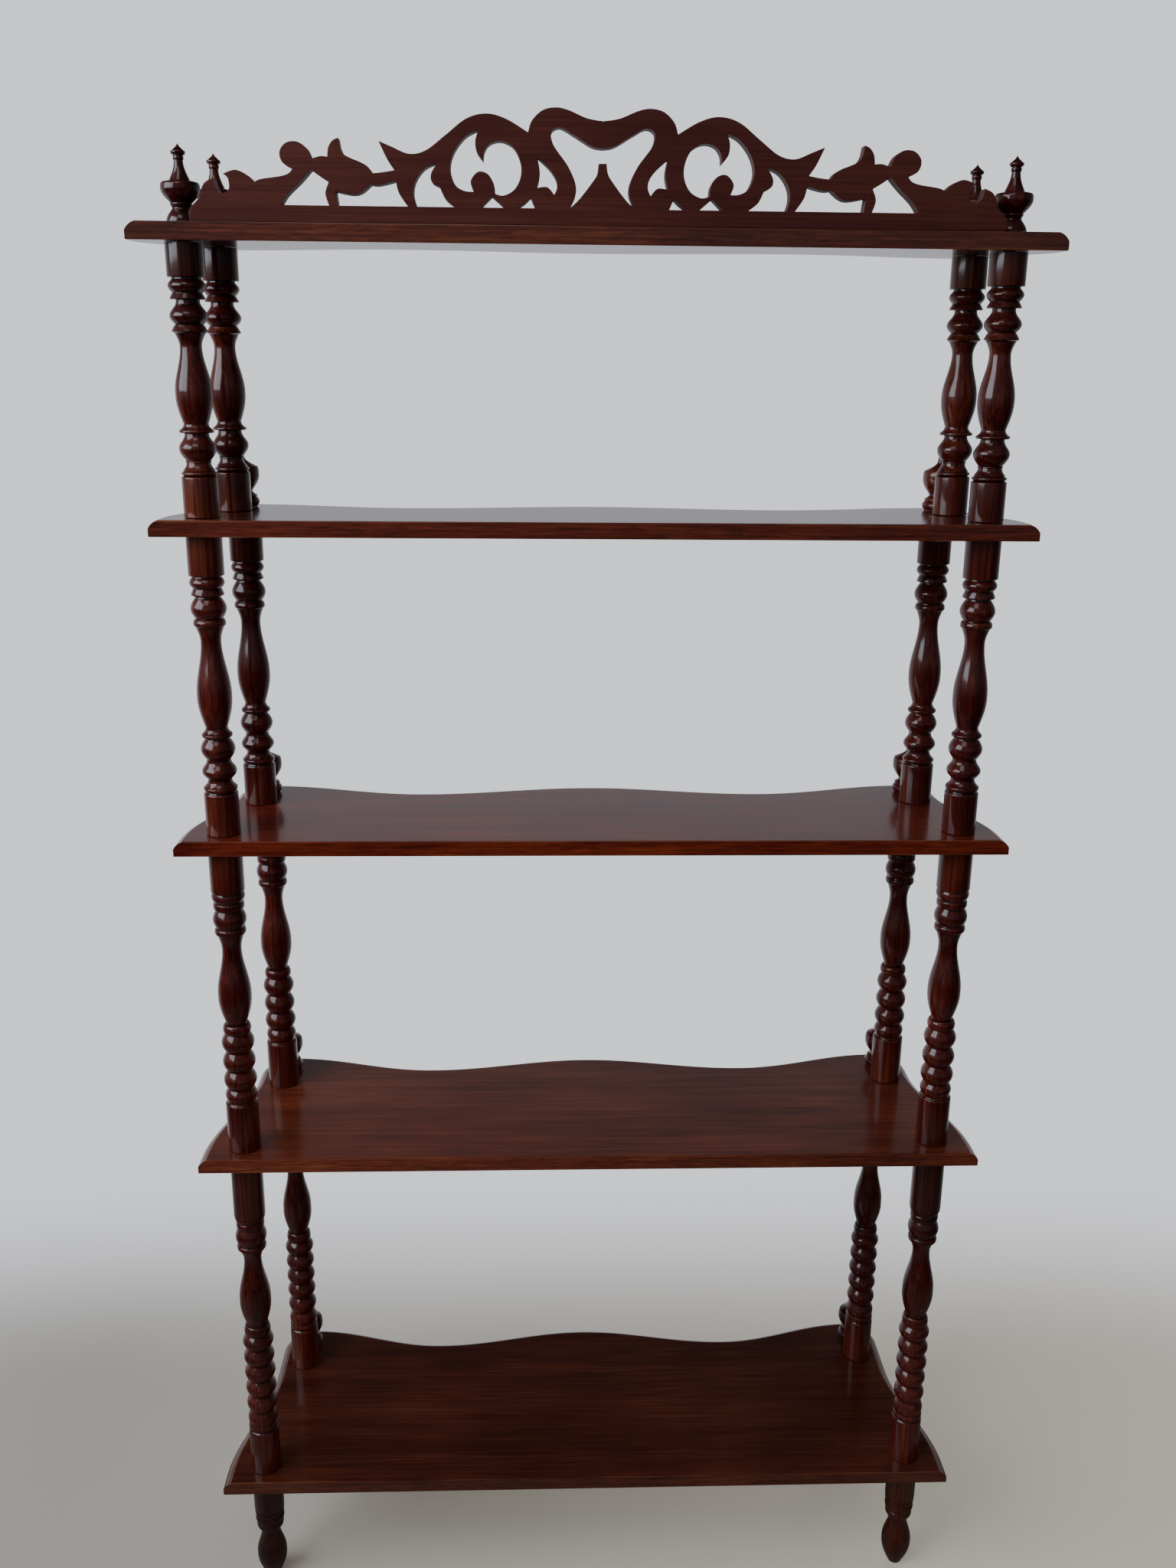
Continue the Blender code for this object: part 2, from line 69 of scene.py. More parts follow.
# A turner's marks, going up from a piece's lower end: the cut that reaches a mark, where it
# isn't the same as for the mark before, and the mark's height and radius in mm. line: a
# straight cut. swell: full at its wide end. flare: hollow at its narrow end. ogee: a full end
# flowing into a hollow one. round: a quarter round, for arrises and thin rings.
POST_MARKS = {
    "top": """
    line 0 14.4, round 0.9 15, line 32.4 15, round 33.7 14, line 34.6 12.7, round 36.2 14.7,
    37.6 13.5, line 38 12.7, round 38.9 13, flare 44.2 10.2, line 45.2 10, round 45.8 10.7, 46.6 10,
    swell 56.6 15.3, ogee 68 10.1, line 69 9.9, 69.3 13.2, round 70.5 14.3, 72 13, flare 75.6 10.4,
    line 76.6 10.1, swell 99.5 15.2, line 101.5 15.2, ogee 138 8.9, flare 148.6 12.4,
    line 149.2 13.3, round 150.3 14.5, line 154.4 12.2, 155.2 11.2, swell 161.8 15.4, ogee 173 9.7,
    line 174.4 9.6, 174.6 13.6, round 175.5 14.3, line 179.8 11.9, swell 185.1 15.2, 190.2 12,
    line 191.4 11.9, 191.7 14.7, round 192.4 15.3, line 218 15.3""",
    "upper": """
    line 0 14.4, round 0.9 15.1, line 36.8 15.1, round 38.8 13.8, line 40.2 13, round 42.8 14.9,
    44.4 14, flare 50 10.7, line 51.5 10.6, swell 58.8 15.2, ogee 68.4 10.7, line 69.8 10.6,
    swell 79 15, 88.6 10.6, line 89.8 10.6, 90.2 12.6, round 91.8 13.4, 93.2 12.7, flare 98 9.8,
    line 99 9.6, swell 126 15.1, line 128 15.1, ogee 175.5 8.8, flare 189.2 12.4, round 191.5 13.9,
    195.4 11.8, line 196 11.7, swell 204.3 15.3, 214.2 10.9, line 215.6 10.8, 215.9 13.4,
    round 217.2 14.1, line 222 12, swell 227 14.9, 231.6 12.5, line 232.8 12.4, 233.1 14.7,
    round 233.9 15.2, line 268 15.2""",
    "middle": """
    line 0 14.4, round 0.9 15.3, line 47.4 15.3, round 49.6 14.2, line 50.8 13.3, 52.2 13.2,
    swell 57.6 14.8, 64.2 11.8, 73.5 15.4, 82.9 11.3, 92.5 15.2, 102.6 11.1, 112.4 15.2, 121.9 11.1,
    round 126.4 13.1, 131.6 10.1, line 133.2 9.8, swell 159 15.4, line 162 15.4, ogee 207 8.9,
    flare 222.4 12.4, round 225 14.3, 228.8 12.8, line 229.4 12.6, swell 237.3 15.2, 246.6 11.9,
    round 250.2 14.1, 253.9 13.2, line 254.6 13, swell 260 15.1, 264.2 13.9, line 264.9 14.6,
    round 265.9 15.3, line 306 15.3""",
    "lower": """
    line 0 14.4, round 0.9 15.1, line 47.8 15.1, round 49.6 14.3, line 50.8 13.6, swell 54.2 14.9,
    57.6 13.6, 62.6 14.9, 72 11.7, 81.7 15.1, 90.8 10.9, 100.2 15.1, 109.2 10.9, 118.4 15.2,
    127.8 11, 137 15.1, 146.5 11, 156 15.2, 163.6 10.9, round 168.2 13, 175 10.4, line 176.8 10.2,
    swell 202 15.4, line 207 15.3, ogee 251 8.5, flare 263 12.2, round 265.7 14.2, 268.8 12.6,
    line 269.4 12.4, swell 278 15.1, 287.6 11.9, round 291 13.7, 294.6 13, line 295.2 12.8,
    swell 300.6 14.9, line 301.5 14.5, round 302.4 15.2, line 362 15.2""",
}
FOOT_MARKS = """
    line 0 6.4, round 0.6 7, swell 27 15.2, line 30 15.2, ogee 58.6 9.3, line 59.8 9.3, 60 10.1,
    61.2 10.2, round 66.2 13.8, 69.6 13, line 70.2 12.8, swell 74.4 14.8, 78.8 13.5, 82.8 15,
    85.6 14.4, line 86.2 14.3, round 87.2 15.3, line 124 15.3"""
TOP_FINIAL_MARKS = """
    line 0 12, round 0.8 12.4, swell 10.5 7.4, line 11.3 7.3, round 11.9 7.9, line 12.4 7.4,
    round 14 8.8, 14.9 8.4, swell 25.5 15.5, line 27 15.5, round 30.5 13.4, line 31.8 8.2,
    flare 46.6 3.6, round 48.2 4.3, 49.8 3.8, line 50.2 3.8, round 52.5 5.8, 53.6 5, flare 60 0"""
TIER_FINIAL_MARKS = """
    line 0 12.4, swell 4.6 14.6, 8 12.7, line 8.5 12.2, round 9.4 12.7, 10.4 12.1, flare 13.4 8.9,
    line 14.2 8.8, swell 28 15.4, line 30 15.4, round 35.6 13.7, flare 43.6 3.2, line 49.6 2,
    round 52 0"""

# The right half of the crest's outline as drawn, in mm from its centre and above the board.
# Each run is one smooth curve through its points, and two runs meet at a sharp corner. BAND
# is the height of the plain band along its foot.
DRAWN_HALF_LENGTH = 324.0
DRAWN_HEIGHT = 85.3
BAND = 12.4
CREST_EDGE = {
    "end scroll": "323.4 0, 324 6, 321.5 10.5, 315.2 16.6",
    "shoulder": "315.2 16.6, 313.6 22.4, 310 28.2, 303.6 31.2",
    "hook notch": "303.6 31.2, 301.6 24, 296.5 20.3, 291.8 23.6, 292.1 31, 295.8 34.5",
    "small arch": "295.8 34.5, 286.6 37.4, 278.5 34.7, 271.7 28.8",
    "rising arm": "271.7 28.8, 266.8 31, 251.5 33.3, 245 35.4, 241.8 38.7",
    "ball": "241.8 38.7, 249.4 43.2, 251.2 51, 246 57.3, 237.6 58.3, 230.4 53.9, 226.8 46.2",
    "neck": "226.8 46.2, 220 48.1, 214.5 47.8",
    "tulip back": "214.5 47.8, 213.4 54.6, 210 59.4, 205.6 61.4",
    "tulip front": "205.6 61.4, 204.2 53.9, 200.2 48.8, 188.2 43.9, 183 40.8, 179.8 36.3",
    "stem": "179.8 36.3, 171.5 37.2, 162.8 38.7",
    "horn back": "162.8 38.7, 168.2 46.6, 174.5 59.6",
    "long scroll": ("174.5 59.6, 164.6 55.7, 151 50.7, 138 53.4, 122.8 64.3, 106.3 76.4, "
                    "90.5 80.2, 75.3 76.6, 58.5 67.3"),
    "centre scroll": "58.5 67.3, 55.5 75.6, 47.4 83, 37.3 85.3, 27.3 83.6, 12.9 78, 0 75.9",
}
CREST_OPENINGS = {
    "gap under the arm": (
        f"252 {BAND}, 246.6 20, 236 29.6, 227.7 38.3",
        "227.7 38.3, 221 33.8, 214 29.6",
        f"214 29.6, 217 21.3, 214.5 {BAND}",
    ),
    "gap under the stem": (
        f"207.6 {BAND}, 208.9 22.7",
        "208.9 22.7, 196 20.6, 188.6 22.4, 181.3 28.1",
        "181.3 28.1, 175 27.8, 161.8 30.9",
        f"161.8 30.9, 159.6 22, 153 {BAND}",
    ),
    "crescent": (
        f"129.3 44.5, 139.4 40, 146.4 31, 148.3 21.6, 146 {BAND}",
        f"115.9 {BAND}, 123.4 18.2, 127.7 27",
        "127.7 27, 133.6 30.2, 134.3 36.4, 129.3 44.5",
    ),
    "scroll eye": (
        "96.7 68.7, 107.2 63.4, 116.3 52, 119.3 40, 115.5 28.8, 108.4 24.4, 101.3 23.9",
        "101.3 23.9, 103.4 31.6, 97.6 38.4, 90.2 37, 85.4 30, 84.4 22.5",
        ("84.4 22.5, 77.6 21.4, 69.2 25.9, 64.4 35, 64.4 45.4, 69.6 56, 79.1 60.7, 88 58.8, "
         "92.6 52.8, 93.3 45.9"),
        "93.3 45.9, 98.6 53, 99.4 61.4, 96.7 68.7",
    ),
    "outer triangle": (f"95.3 {BAND}, 86.8 20.5", f"86.8 20.5, 77.1 {BAND}"),
    "inner triangle": (f"66.4 {BAND}, 61.2 15.6, 56.4 20", f"56.4 20, 53 {BAND}"),
    "leaf": (
        "51.1 49.2, 41.6 40.8, 36.6 33.4, 35.8 27.6, 37.9 22.4",
        "37.9 22.4, 43.4 27.9, 51.3 27.3",
        "51.3 27.3, 49.2 38, 51.1 49.2",
    ),
}
# The opening on the centre line: its right half, from its top to the top of the spade
SPADE_OPENING = {
    "under the double scroll": ("0 56.3, 9.2 58, 23.7 66.2, 33.6 71, 40.2 67.6, 38.4 58.2, "
                                "27.4 43.6, 21.4 31, 21.2 22, 25.6 12.8"),
    "spade flank": "25.6 12.8, 18.4 19.2, 8.6 31.2, 4.3 37.8, 3.1 45.4",
}

# How finely curves are divided
LEAST_CUT_STEPS = 4
FLANK_STEPS = 28
CORNER_STEPS = 14
DIP_STEPS = 26
BOW_STEPS = 28
CHAMFER_STEPS = 6
BIT_SIDES = 32
# What is too short to count
LEAST_SPACING = 0.05 * MM
NO_LENGTH = 1e-6
# Degrees between two faces past which their edge stays hard
TURNED_HARD_ANGLE = 38.0
BOARD_HARD_ANGLE = 30.0
CREST_HARD_ANGLE = 35.0

# How far along a turned piece a point is compared with others, and how proud of them a full
# arris stands
EDGE_REACH = 0.9 * MM
EDGE_PROUD = 0.45 * MM
# Where points lie on an eased arris, a chamfer and the underside, as shares of its size
ARRIS_BEND = 0.3
DECK_BEND = 0.2
CHAMFER_IN = 0.95
CHAMFER_UP = 0.96
CROWN_UP = 0.6
UNDERSIDE_INSET = 0.998
# How far a drill's bit starts below a board, in clearances, and ends above it
BIT_START = 10
BIT_END = 10 * MM
# How sawn the crest looks on its walls and on its arrises
SAWN_WALL = 1.0
SAWN_ARRIS = 0.4

# What the stain's red, green and blue are multiplied by: on each level's board, and on the
# posts or feet under it and the finials on it. Partly a stain that differs from level to level,
# partly painted light and shade for how the light falls on each level.
BOARD_TONES_AND_LIGHT = {
    "top": (0.78, 0.94, 1.02),
    "upper": (1.04, 1.08, 1.12),
    "middle": (1.42, 1.1, 0.9),
    "lower": (1.46, 1.72, 1.62),
    "bottom": (0.84, 1.12, 1.15),
}
TURNED_TONES_AND_LIGHT = {
    "top": (1.1, 1.1, 1.1),
    "upper": (1.35, 1.3, 1.3),
    "middle": (1.45, 1.3, 1.2),
    "lower": (1.4, 1.3, 1.25),
    "bottom": (0.7, 0.7, 0.7),
}
# How the boards' grain is turned from their length, in radians
BOARD_SLANT = (0.0, 0.0, 0.035)

# The shine of the stained wood itself, and of the coat of lacquer on it
Gloss = namedtuple("Gloss", "roughness specular coat coat_roughness")
BOARD_GLOSS = Gloss(0.30, 0.15, 1.0, 0.13)
TURNED_GLOSS = Gloss(0.33, 0.12, 0.95, 0.125)
CREST_GLOSS = Gloss(0.42, 0.25, 0.15, 0.25)
DOWEL_GLOSS = Gloss(0.55, 0.4, 0.0, 0.1)
WOOD_SHINE = (1.0, 0.72, 0.55, 1.0)
LACQUER_IOR = 1.5
# How bright an arris is made, partly as rubbing and partly as a painted highlight, and how
# much lighter the upright faces of the boards are painted, as painted light
BOARD_WEAR_AND_HIGHLIGHT = 0.80
TURNED_WEAR_AND_HIGHLIGHT = 0.40
CREST_WEAR_AND_HIGHLIGHT = 0.06
BOARD_PAINTED_SIDE_LIGHT = 1.3

# Patterns in the wood: the scale along and across the grain, then the noise's own scale,
# detail, roughness and distortion
FIBRE = (2.6, 125.0, 3.6, 8.0, 0.66, 0.3)
PORE = (14.0, 520.0, 2.2, 3.0, 0.6)
FIGURE = (1.3, 17.0, 2.1, 4.0, 0.55, 1.3)
PATCH = (3.4, 5.0, 1.6, 2.0)
STREAK = (20.0, 200.0, 2.6, 5.0, 0.55, 0.6)
SAW_MARK = (40.0, 900.0, 1.0, 2.0)
# Weights of the fibre, figure and patches in the colour, and of the fibre and pores in relief
GROWTH_WEIGHTS = (0.48, 0.24, 0.28)
RELIEF_WEIGHTS = (0.7, 0.5)
RELIEF = {"Strength": 0.16, "Distance": 0.0002}
# The values of a pattern between which a look comes in, then how strong it is at each, where
# that isn't from 0 to 1
MID_WOOD = (0.40, 0.51)
LIGHT_WOOD = (0.51, 0.61, 0.0, 0.85)
OPEN_PORES = (0.30, 0.40, 0.45, 0.0)
STREAKS = (0.36, 0.62)
# LEVEL_FACE: from upright faces, painted lighter as painted light, to level faces left as they are
LEVEL_FACE = (0.2, 0.6)
# Where arrises are made lighter, made uneven by the fibre and patches: partly rubbing, partly a
# painted highlight
ARRIS = (0.15, 0.9)
RUB_AND_HIGHLIGHT_FIBRE = (0.40, 0.62, 0.15, 1.0)
RUB_AND_HIGHLIGHT_PATCH = (0.42, 0.56, 0.2, 1.0)
# Where grooves are darkened, as painted shade
PAINTED_GROOVE_SHADE = (-0.75, -0.05, 0.92, 0.0)
UNEVEN = (0.3, 0.7)
SAW_LINES = (0.35, 0.65)
# How much lighter or darker, or rougher, these looks make the wood
# The grain's streak spread on upright faces, times their painted side light
STREAK_SPREAD = (0.7, 1.3)
FIBRE_ROUGHNESS = (-0.04, 0.07)
PATCH_ROUGHNESS = (0.0, 0.05)
# How dark the painted shade in grooves is, as a share of the dark stain
PAINTED_GROOVE_DARKNESS = 0.35
BARE_SHARE = 0.85
SAWN_ROUGHNESS = 0.18
DOWEL_SHADES = (0.6, 1.0, 1.2)

# The photograph's viewing angle: metres, degrees and millimetres
CAMERA_PLACE = (-0.0500, -1.3230, 1.2470)
CAMERA_YAW = -2.050
CAMERA_PITCH = 16.660
CAMERA_ROLL = 0.545
CAMERA_LENS = 32.58
CAMERA_SENSOR = 36.0
CAMERA_CLIP = 0.01

# Soft lights, in metres and watts; glossy is whether the lacquer mirrors one
Light = namedtuple("Light", "place target width height power colour glossy")
LIGHTS = {
    "side_light": Light((-1.75, -0.95, 1.95), (0.0, 0.0, 1.45), 1.9, 1.35, 43.0,
                        (0.82, 0.89, 1.0), True),
    "overhead_light": Light((-0.5, -1.4, 2.8), (0.0, 0.0, 0.7), 1.0, 0.8, 5.0,
                            (1.0, 0.98, 0.95), True),
    "fill_light": Light((0.9, 2.3, 1.3), (0.0, 0.0, 0.7), 1.6, 1.6, 16.0,
                        (1.0, 0.97, 0.93), False),
}
# The surroundings: how far up, ahead (+Y) or right (+X) their glow starts and stops changing,
# then how bright or dim it is at each, where that isn't from 0 to 1
GLOW_BEHIND = (0.0, 0.63, 0.61, 0.01)
GLOW_BEFORE = (-0.20, 0.10, 0.02, 0.22)
GLOW_OVERHEAD = (0.20, 0.60, 1.0, 0.45)
TURN_BEHIND = (0.05, 0.50)
DIM_RIGHT = (0.2, 0.8, 0.0, 0.6)
GLOW_COLOUR = (0.985, 1.0, 1.08)
BACKDROP_COLOUR = (1.02, 1.05, 1.12, 1.0)
# The floor: its disc, its finish, the distances over which it fades out, and its own glow
FLOOR_RADIUS = 3.0
FLOOR_SIDES = 96
FLOOR_ROUGHNESS = 0.65
FLOOR_MOTTLE = (3.0, 3.0)
FLOOR_MOTTLE_SHADE = 0.97
FLOOR_MIRRORED_SHADE = 0.3
FLOOR_FADE_ROUND = (0.6, 1.7, 1.0, 0.0)
FLOOR_FADE_AHEAD = (0.15, 0.75, 1.0, 0.0)
FLOOR_GLOW = (-0.6, 0.7, 0.0, 0.27)
FLOOR_GLOW_COLOUR = (1.0, 0.94, 0.82, 1.0)


def box_size(node):
    """Return a node's extent along each axis."""
    low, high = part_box(node)
    return high - low


def distance(name, description, default):
    """Return a length in metres that a user can set."""
    return FloatProperty(name=name, description=description, default=default, min=0.0,
                         precision=5, subtype="DISTANCE", unit="LENGTH")


def stain(name, description, default):
    """Return a colour that a user can set."""
    return FloatVectorProperty(name=name, description=description, default=default, size=3,
                               min=0.0, max=1.0, subtype="COLOR")


class ShelfSizes(bpy.types.PropertyGroup):
    """Sizes of the fine surfaces."""
    board_width: distance("Board width", "Length of every board", box_size("shelf_top").x)
    board_thickness: distance("Board thickness", "How thick a board is", box_size("shelf_top").z)
    flank_draw_in: distance("Flank draw-in", "How far a flank curves in", 0.027)
    flank_start: distance("Flank start", "Where a flank's curve starts", 0.020)
    flank_end: distance("Flank end", "Where a flank's curve ends on a deep board", 0.165)
    corner_radius: distance("Corner radius", "Radius of a board's front corners", 0.032)
    dip_distance: distance("Dip distance", "From the middle to a dip of the front", 0.165)
    dip_depth: distance("Dip depth", "How far the front edge dips", 0.029)
    bow_setback: distance("Bow setback", "How far the bow stays behind the corners", 0.008)
    chamfer_width: distance("Chamfer width", "Width of the chamfer in plan", 0.0075)
    chamfer_height: distance("Chamfer height", "Height of the chamfer", 0.007)
    chamfer_crown: distance("Chamfer crown", "How far the chamfer bulges", 0.0007)
    arris: distance("Arris", "Width of the eased edges of the boards", 0.0006)
    crest_arris: distance("Crest arris", "Width of the crest's eased edges", 0.0004)
    crest_step: distance("Crest step", "Spacing of points on the crest's curves", 0.0011)
    turning_step: distance("Turning step", "Spacing of rings on turned curves", 0.0007)
    turned_sides: IntProperty(name="Turned sides", description="Sides of each turned piece",
                              default=64, min=8)
    tenon_radius: distance("Tenon radius", "Radius of every round tenon", 0.005)
    socket_depth: distance("Socket depth", "Depth of the socket in a piece's top", 0.0123)
    fit: distance("Fit", "Clearance of a tenon in its socket", 0.0003)


class ShelfFinish(bpy.types.PropertyGroup):
    """Colours of the stained and lacquered wood."""
    board_dark: stain("Board dark", "Late wood of the boards", (0.050, 0.0075, 0.0042))
    board_mid: stain("Board middle", "Body colour of the boards", (0.098, 0.0155, 0.0078))
    board_light: stain("Board light", "Light streaks in the boards", (0.160, 0.0330, 0.0120))
    turned_dark: stain("Turned dark", "Dark grain of the turnings", (0.016, 0.0020, 0.0020))
    turned_mid: stain("Turned middle", "Body colour of the turnings", (0.062, 0.0068, 0.0052))
    turned_light: stain("Turned light", "Light grain of the turnings", (0.150, 0.0260, 0.0100))
    crest_dark: stain("Crest dark", "Dark grain of the crest", (0.070, 0.0146, 0.0138))
    crest_mid: stain("Crest middle", "Body colour of the crest", (0.090, 0.0202, 0.0168))
    crest_light: stain("Crest light", "Light grain of the crest", (0.122, 0.0310, 0.0222))
    sawn: stain("Sawn walls", "Cut walls of the crest", (0.150, 0.090, 0.075))
    # The arris colour: partly rubbed wood, partly a painted highlight
    worn_and_lit: stain("Worn arris", "Rubbed edges", (0.260, 0.080, 0.030))
    dowel: stain("Dowel", "Bare wood of the dowels", (0.420, 0.260, 0.130))
    floor: stain("Floor", "Studio floor", (0.70, 0.64, 0.54))


def sizes():
    """Return the sizes that are set."""
    return bpy.context.scene.turned_shelf_sizes


def finish():
    """Return the colours that are set."""
    return bpy.context.scene.turned_shelf_finish


class NodeWriter:
    """Adds nodes to a tree in few words."""

    def __init__(self, tree):
        self.tree = tree

    def set(self, node, values):
        """Give each named input of a node a value, or link a socket to it."""
        for key, value in values.items():
            if isinstance(value, bpy.types.NodeSocket):
                self.tree.links.new(value, node.inputs[key])
            else:
                node.inputs[key].default_value = value

    def add(self, kind, values=None, **settings):
        """Add a node with its settings and its inputs."""
        node = self.tree.nodes.new(kind)
        for name, value in settings.items():
            setattr(node, name, value)
        self.set(node, values or {})
        return node

    def math(self, operation, *values):
        """Return the result of a Math node."""
        return self.add("ShaderNodeMath", dict(enumerate(values)), operation=operation).outputs[0]

    def times(self, first, second):
        """Return the product of two values."""
        return self.math("MULTIPLY", first, second)

    def weighted(self, values, weights):
        """Return the sum of values, each times its weight."""
        first, *others = (self.times(value, weight) for value, weight in zip(values, weights))
        for other in others:
            first = self.math("ADD", first, other)
        return first

    def fit(self, value, low, high, to_low=0.0, to_high=1.0, curve="LINEAR"):
        """Return a value mapped from one range to another, and held inside it."""
        return self.add("ShaderNodeMapRange", {
            "Value": value, "From Min": low, "From Max": high, "To Min": to_low,
            "To Max": to_high}, clamp=True, interpolation_type=curve).outputs["Result"]

    def mix(self, share, first, second):
        """Return one colour mixed into another."""
        return self.add("ShaderNodeMix", {0: share, 6: first, 7: second}, data_type="RGBA",
                        clamp_factor=True).outputs[2]

    def tinted(self, colour, tint):
        """Return a colour times a value or another colour."""
        return self.add("ShaderNodeVectorMath", {0: colour, 1: tint},
                        operation="MULTIPLY").outputs[0]

    def split(self, vector):
        """Return a vector's parts."""
        return self.add("ShaderNodeSeparateXYZ", {"Vector": vector}).outputs

    def attribute(self, name, output="Fac"):
        """Return an attribute of the mesh."""
        return self.add("ShaderNodeAttribute", attribute_name=name).outputs[output]

    def noise(self, where, scale, detail, roughness=0.55, distortion=0.0):
        """Return a noise from 0 to 1."""
        return self.add("ShaderNodeTexNoise", {
            "Vector": where, "Scale": scale, "Detail": detail, "Roughness": roughness,
            "Distortion": distortion}).outputs["Fac"]


def rgba(colour):
    """Return a colour with its alpha."""
    return (*colour, 1.0)


def shaded(colour, factor):
    """Return a colour made darker or lighter."""
    return tuple(value * factor for value in colour)


def stretched_along(axis, length, across):
    """Return a Mapping scale that draws a pattern out along an axis."""
    return tuple(length if name == axis else across for name in "XYZ")


def new_material(name):
    """Return a new material, the writer of its nodes, and its shader."""
    material = bpy.data.materials.new(name)
    material.use_nodes = True
    tree = material.node_tree
    return material, NodeWriter(tree), tree.nodes["Principled BSDF"]


def make_wood(name, axis, stains, gloss, wear_and_highlight=0.0, slant=(0.0, 0.0, 0.0), sides=1.0, sawn=None,
              toned_and_lit=True):
    """Return stained wood whose grain runs along an axis, with lighter arrises and darker grooves.

    stains are the dark, middle and light wood; the arris argument is how bright an arris is made,
    partly as rubbing and partly as a painted highlight; slant is how the grain is turned from its
    axis; the side argument is how much lighter upright faces are painted, as painted light; sawn is
    the colour of bare walls, and the last argument tints the wood from its mesh with stain and
    painted light and shade.
    """
    material, write, shader = new_material(name)
    place = write.add("ShaderNodeTexCoord").outputs["Object"]

    def pattern(along, across, *noise):
        """Return a noise drawn out along the grain."""
        where = write.add("ShaderNodeMapping", {
            "Vector": place, "Scale": stretched_along(axis, along, across), "Rotation": slant})
        return write.noise(where.outputs[0], *noise)

    fibre, pore, figure, patch = (pattern(*each) for each in (FIBRE, PORE, FIGURE, PATCH))
    dark, mid, light = (rgba(each) for each in stains)
    growth = write.weighted((fibre, figure, patch), GROWTH_WEIGHTS)
    body = write.mix(write.fit(growth, *MID_WOOD), dark, mid)
    body = write.mix(write.fit(growth, *LIGHT_WOOD), body, light)
    body = write.mix(write.fit(pore, *OPEN_PORES), body, dark)
    # Upright faces are painted lighter than level ones as painted light, with the grain's streaks
    # on them
    if sides != 1.0:
        normal = write.add("ShaderNodeNewGeometry").outputs["True Normal"]
        level = write.math("ABSOLUTE", write.split(normal)["Z"])
        dimmest, brightest = (sides * spread for spread in STREAK_SPREAD)
        streaks = write.fit(pattern(*STREAK), *STREAKS, dimmest, brightest)
        body = write.tinted(body, write.fit(level, *LEVEL_FACE, streaks, 1.0))
    # A tint from the mesh: partly stain that differs by level, partly painted light and shade
    if toned_and_lit:
        body = write.tinted(body, write.attribute("tone", "Color"))

    # Arrises are made lighter: partly rubbing, partly a painted highlight
    edge = write.attribute("edge")
    uneven_rub_and_highlight = write.times(write.fit(fibre, *RUB_AND_HIGHLIGHT_FIBRE), write.fit(patch, *RUB_AND_HIGHLIGHT_PATCH))
    rub_and_highlight = write.times(write.fit(edge, *ARRIS, 0.0, wear_and_highlight), uneven_rub_and_highlight)
    body = write.mix(rub_and_highlight, body, rgba(finish().worn_and_lit))
    # Grooves are darkened with painted shade
    body = write.mix(write.fit(edge, *PAINTED_GROOVE_SHADE), body, rgba(shaded(stains[0], PAINTED_GROOVE_DARKNESS)))

    smoother, rougher = (gloss.roughness + change for change in FIBRE_ROUGHNESS)
    rough = write.math("ADD", write.fit(fibre, *UNEVEN, smoother, rougher),
                       write.fit(patch, *UNEVEN, *PATCH_ROUGHNESS))
    if sawn is not None:
        cut = write.attribute("sawn")
        bare = write.mix(write.fit(pattern(*SAW_MARK), *SAW_LINES), body, rgba(sawn))
        body = write.mix(write.times(cut, BARE_SHARE), body, bare)
        rough = write.math("ADD", rough, write.times(cut, SAWN_ROUGHNESS))
    height = write.weighted((fibre, pore), RELIEF_WEIGHTS)
    write.set(shader, {
        "Base Color": body, "Roughness": rough,
        "Normal": write.add("ShaderNodeBump", {"Height": height, **RELIEF}).outputs[0],
        "Specular IOR Level": gloss.specular, "Specular Tint": WOOD_SHINE,
        "Coat Weight": gloss.coat, "Coat Roughness": gloss.coat_roughness,
        "Coat IOR": LACQUER_IOR})
    return material


def stains_of(piece):
    """Return the dark, middle and light stain of a kind of piece."""
    return [getattr(finish(), "%s_%s" % (piece, depth)) for depth in ("dark", "mid", "light")]


def wood(name):
    """Return one of the finishes of the shelf, made once."""
    known = bpy.data.materials.get(name)
    if known:
        return known
    if name == "board_wood":
        return make_wood(name, "X", stains_of("board"), BOARD_GLOSS, BOARD_WEAR_AND_HIGHLIGHT, BOARD_SLANT,
                         BOARD_PAINTED_SIDE_LIGHT)
    if name == "turned_wood_lacquered":
        return make_wood(name, "Z", stains_of("turned"), TURNED_GLOSS, TURNED_WEAR_AND_HIGHLIGHT)
    if name == "crest_wood_satin":
        return make_wood(name, "X", stains_of("crest"), CREST_GLOSS, CREST_WEAR_AND_HIGHLIGHT,
                         sawn=finish().sawn)
    stains = [shaded(finish().dowel, factor) for factor in DOWEL_SHADES]
    return make_wood(name, "Z", stains, DOWEL_GLOSS, toned_and_lit=False)


def new_object(name, data):
    """Put a mesh, light or camera in the scene as an object at the origin."""
    piece = bpy.data.objects.new(name, data)
    bpy.context.scene.collection.objects.link(piece)
    return piece


def mesh_of(bm, name):
    """Return a mesh of what was drawn with bmesh."""
    mesh = bpy.data.meshes.new(name)
    bm.to_mesh(mesh)
    bm.free()
    return mesh


def evaluated_mesh(piece, name):
    """Return a plain mesh of an object as its modifiers leave it."""
    graph = bpy.context.evaluated_depsgraph_get()
    graph.update()
    mesh = bpy.data.meshes.new_from_object(piece.evaluated_get(graph), depsgraph=graph)
    mesh.name = name
    return mesh


def turn_outwards(mesh):
    """Point every face of a closed mesh outwards."""
    bm = bmesh.new()
    bm.from_mesh(mesh)
    bmesh.ops.recalc_face_normals(bm, faces=bm.faces)
    bm.to_mesh(mesh)
    bm.free()


def shade(mesh, angle):
    """Shade a mesh smooth, with hard edges where two faces meet at more than the angle."""
    mesh.shade_smooth()
    mesh.set_sharp_from_angle(angle=math.radians(angle))


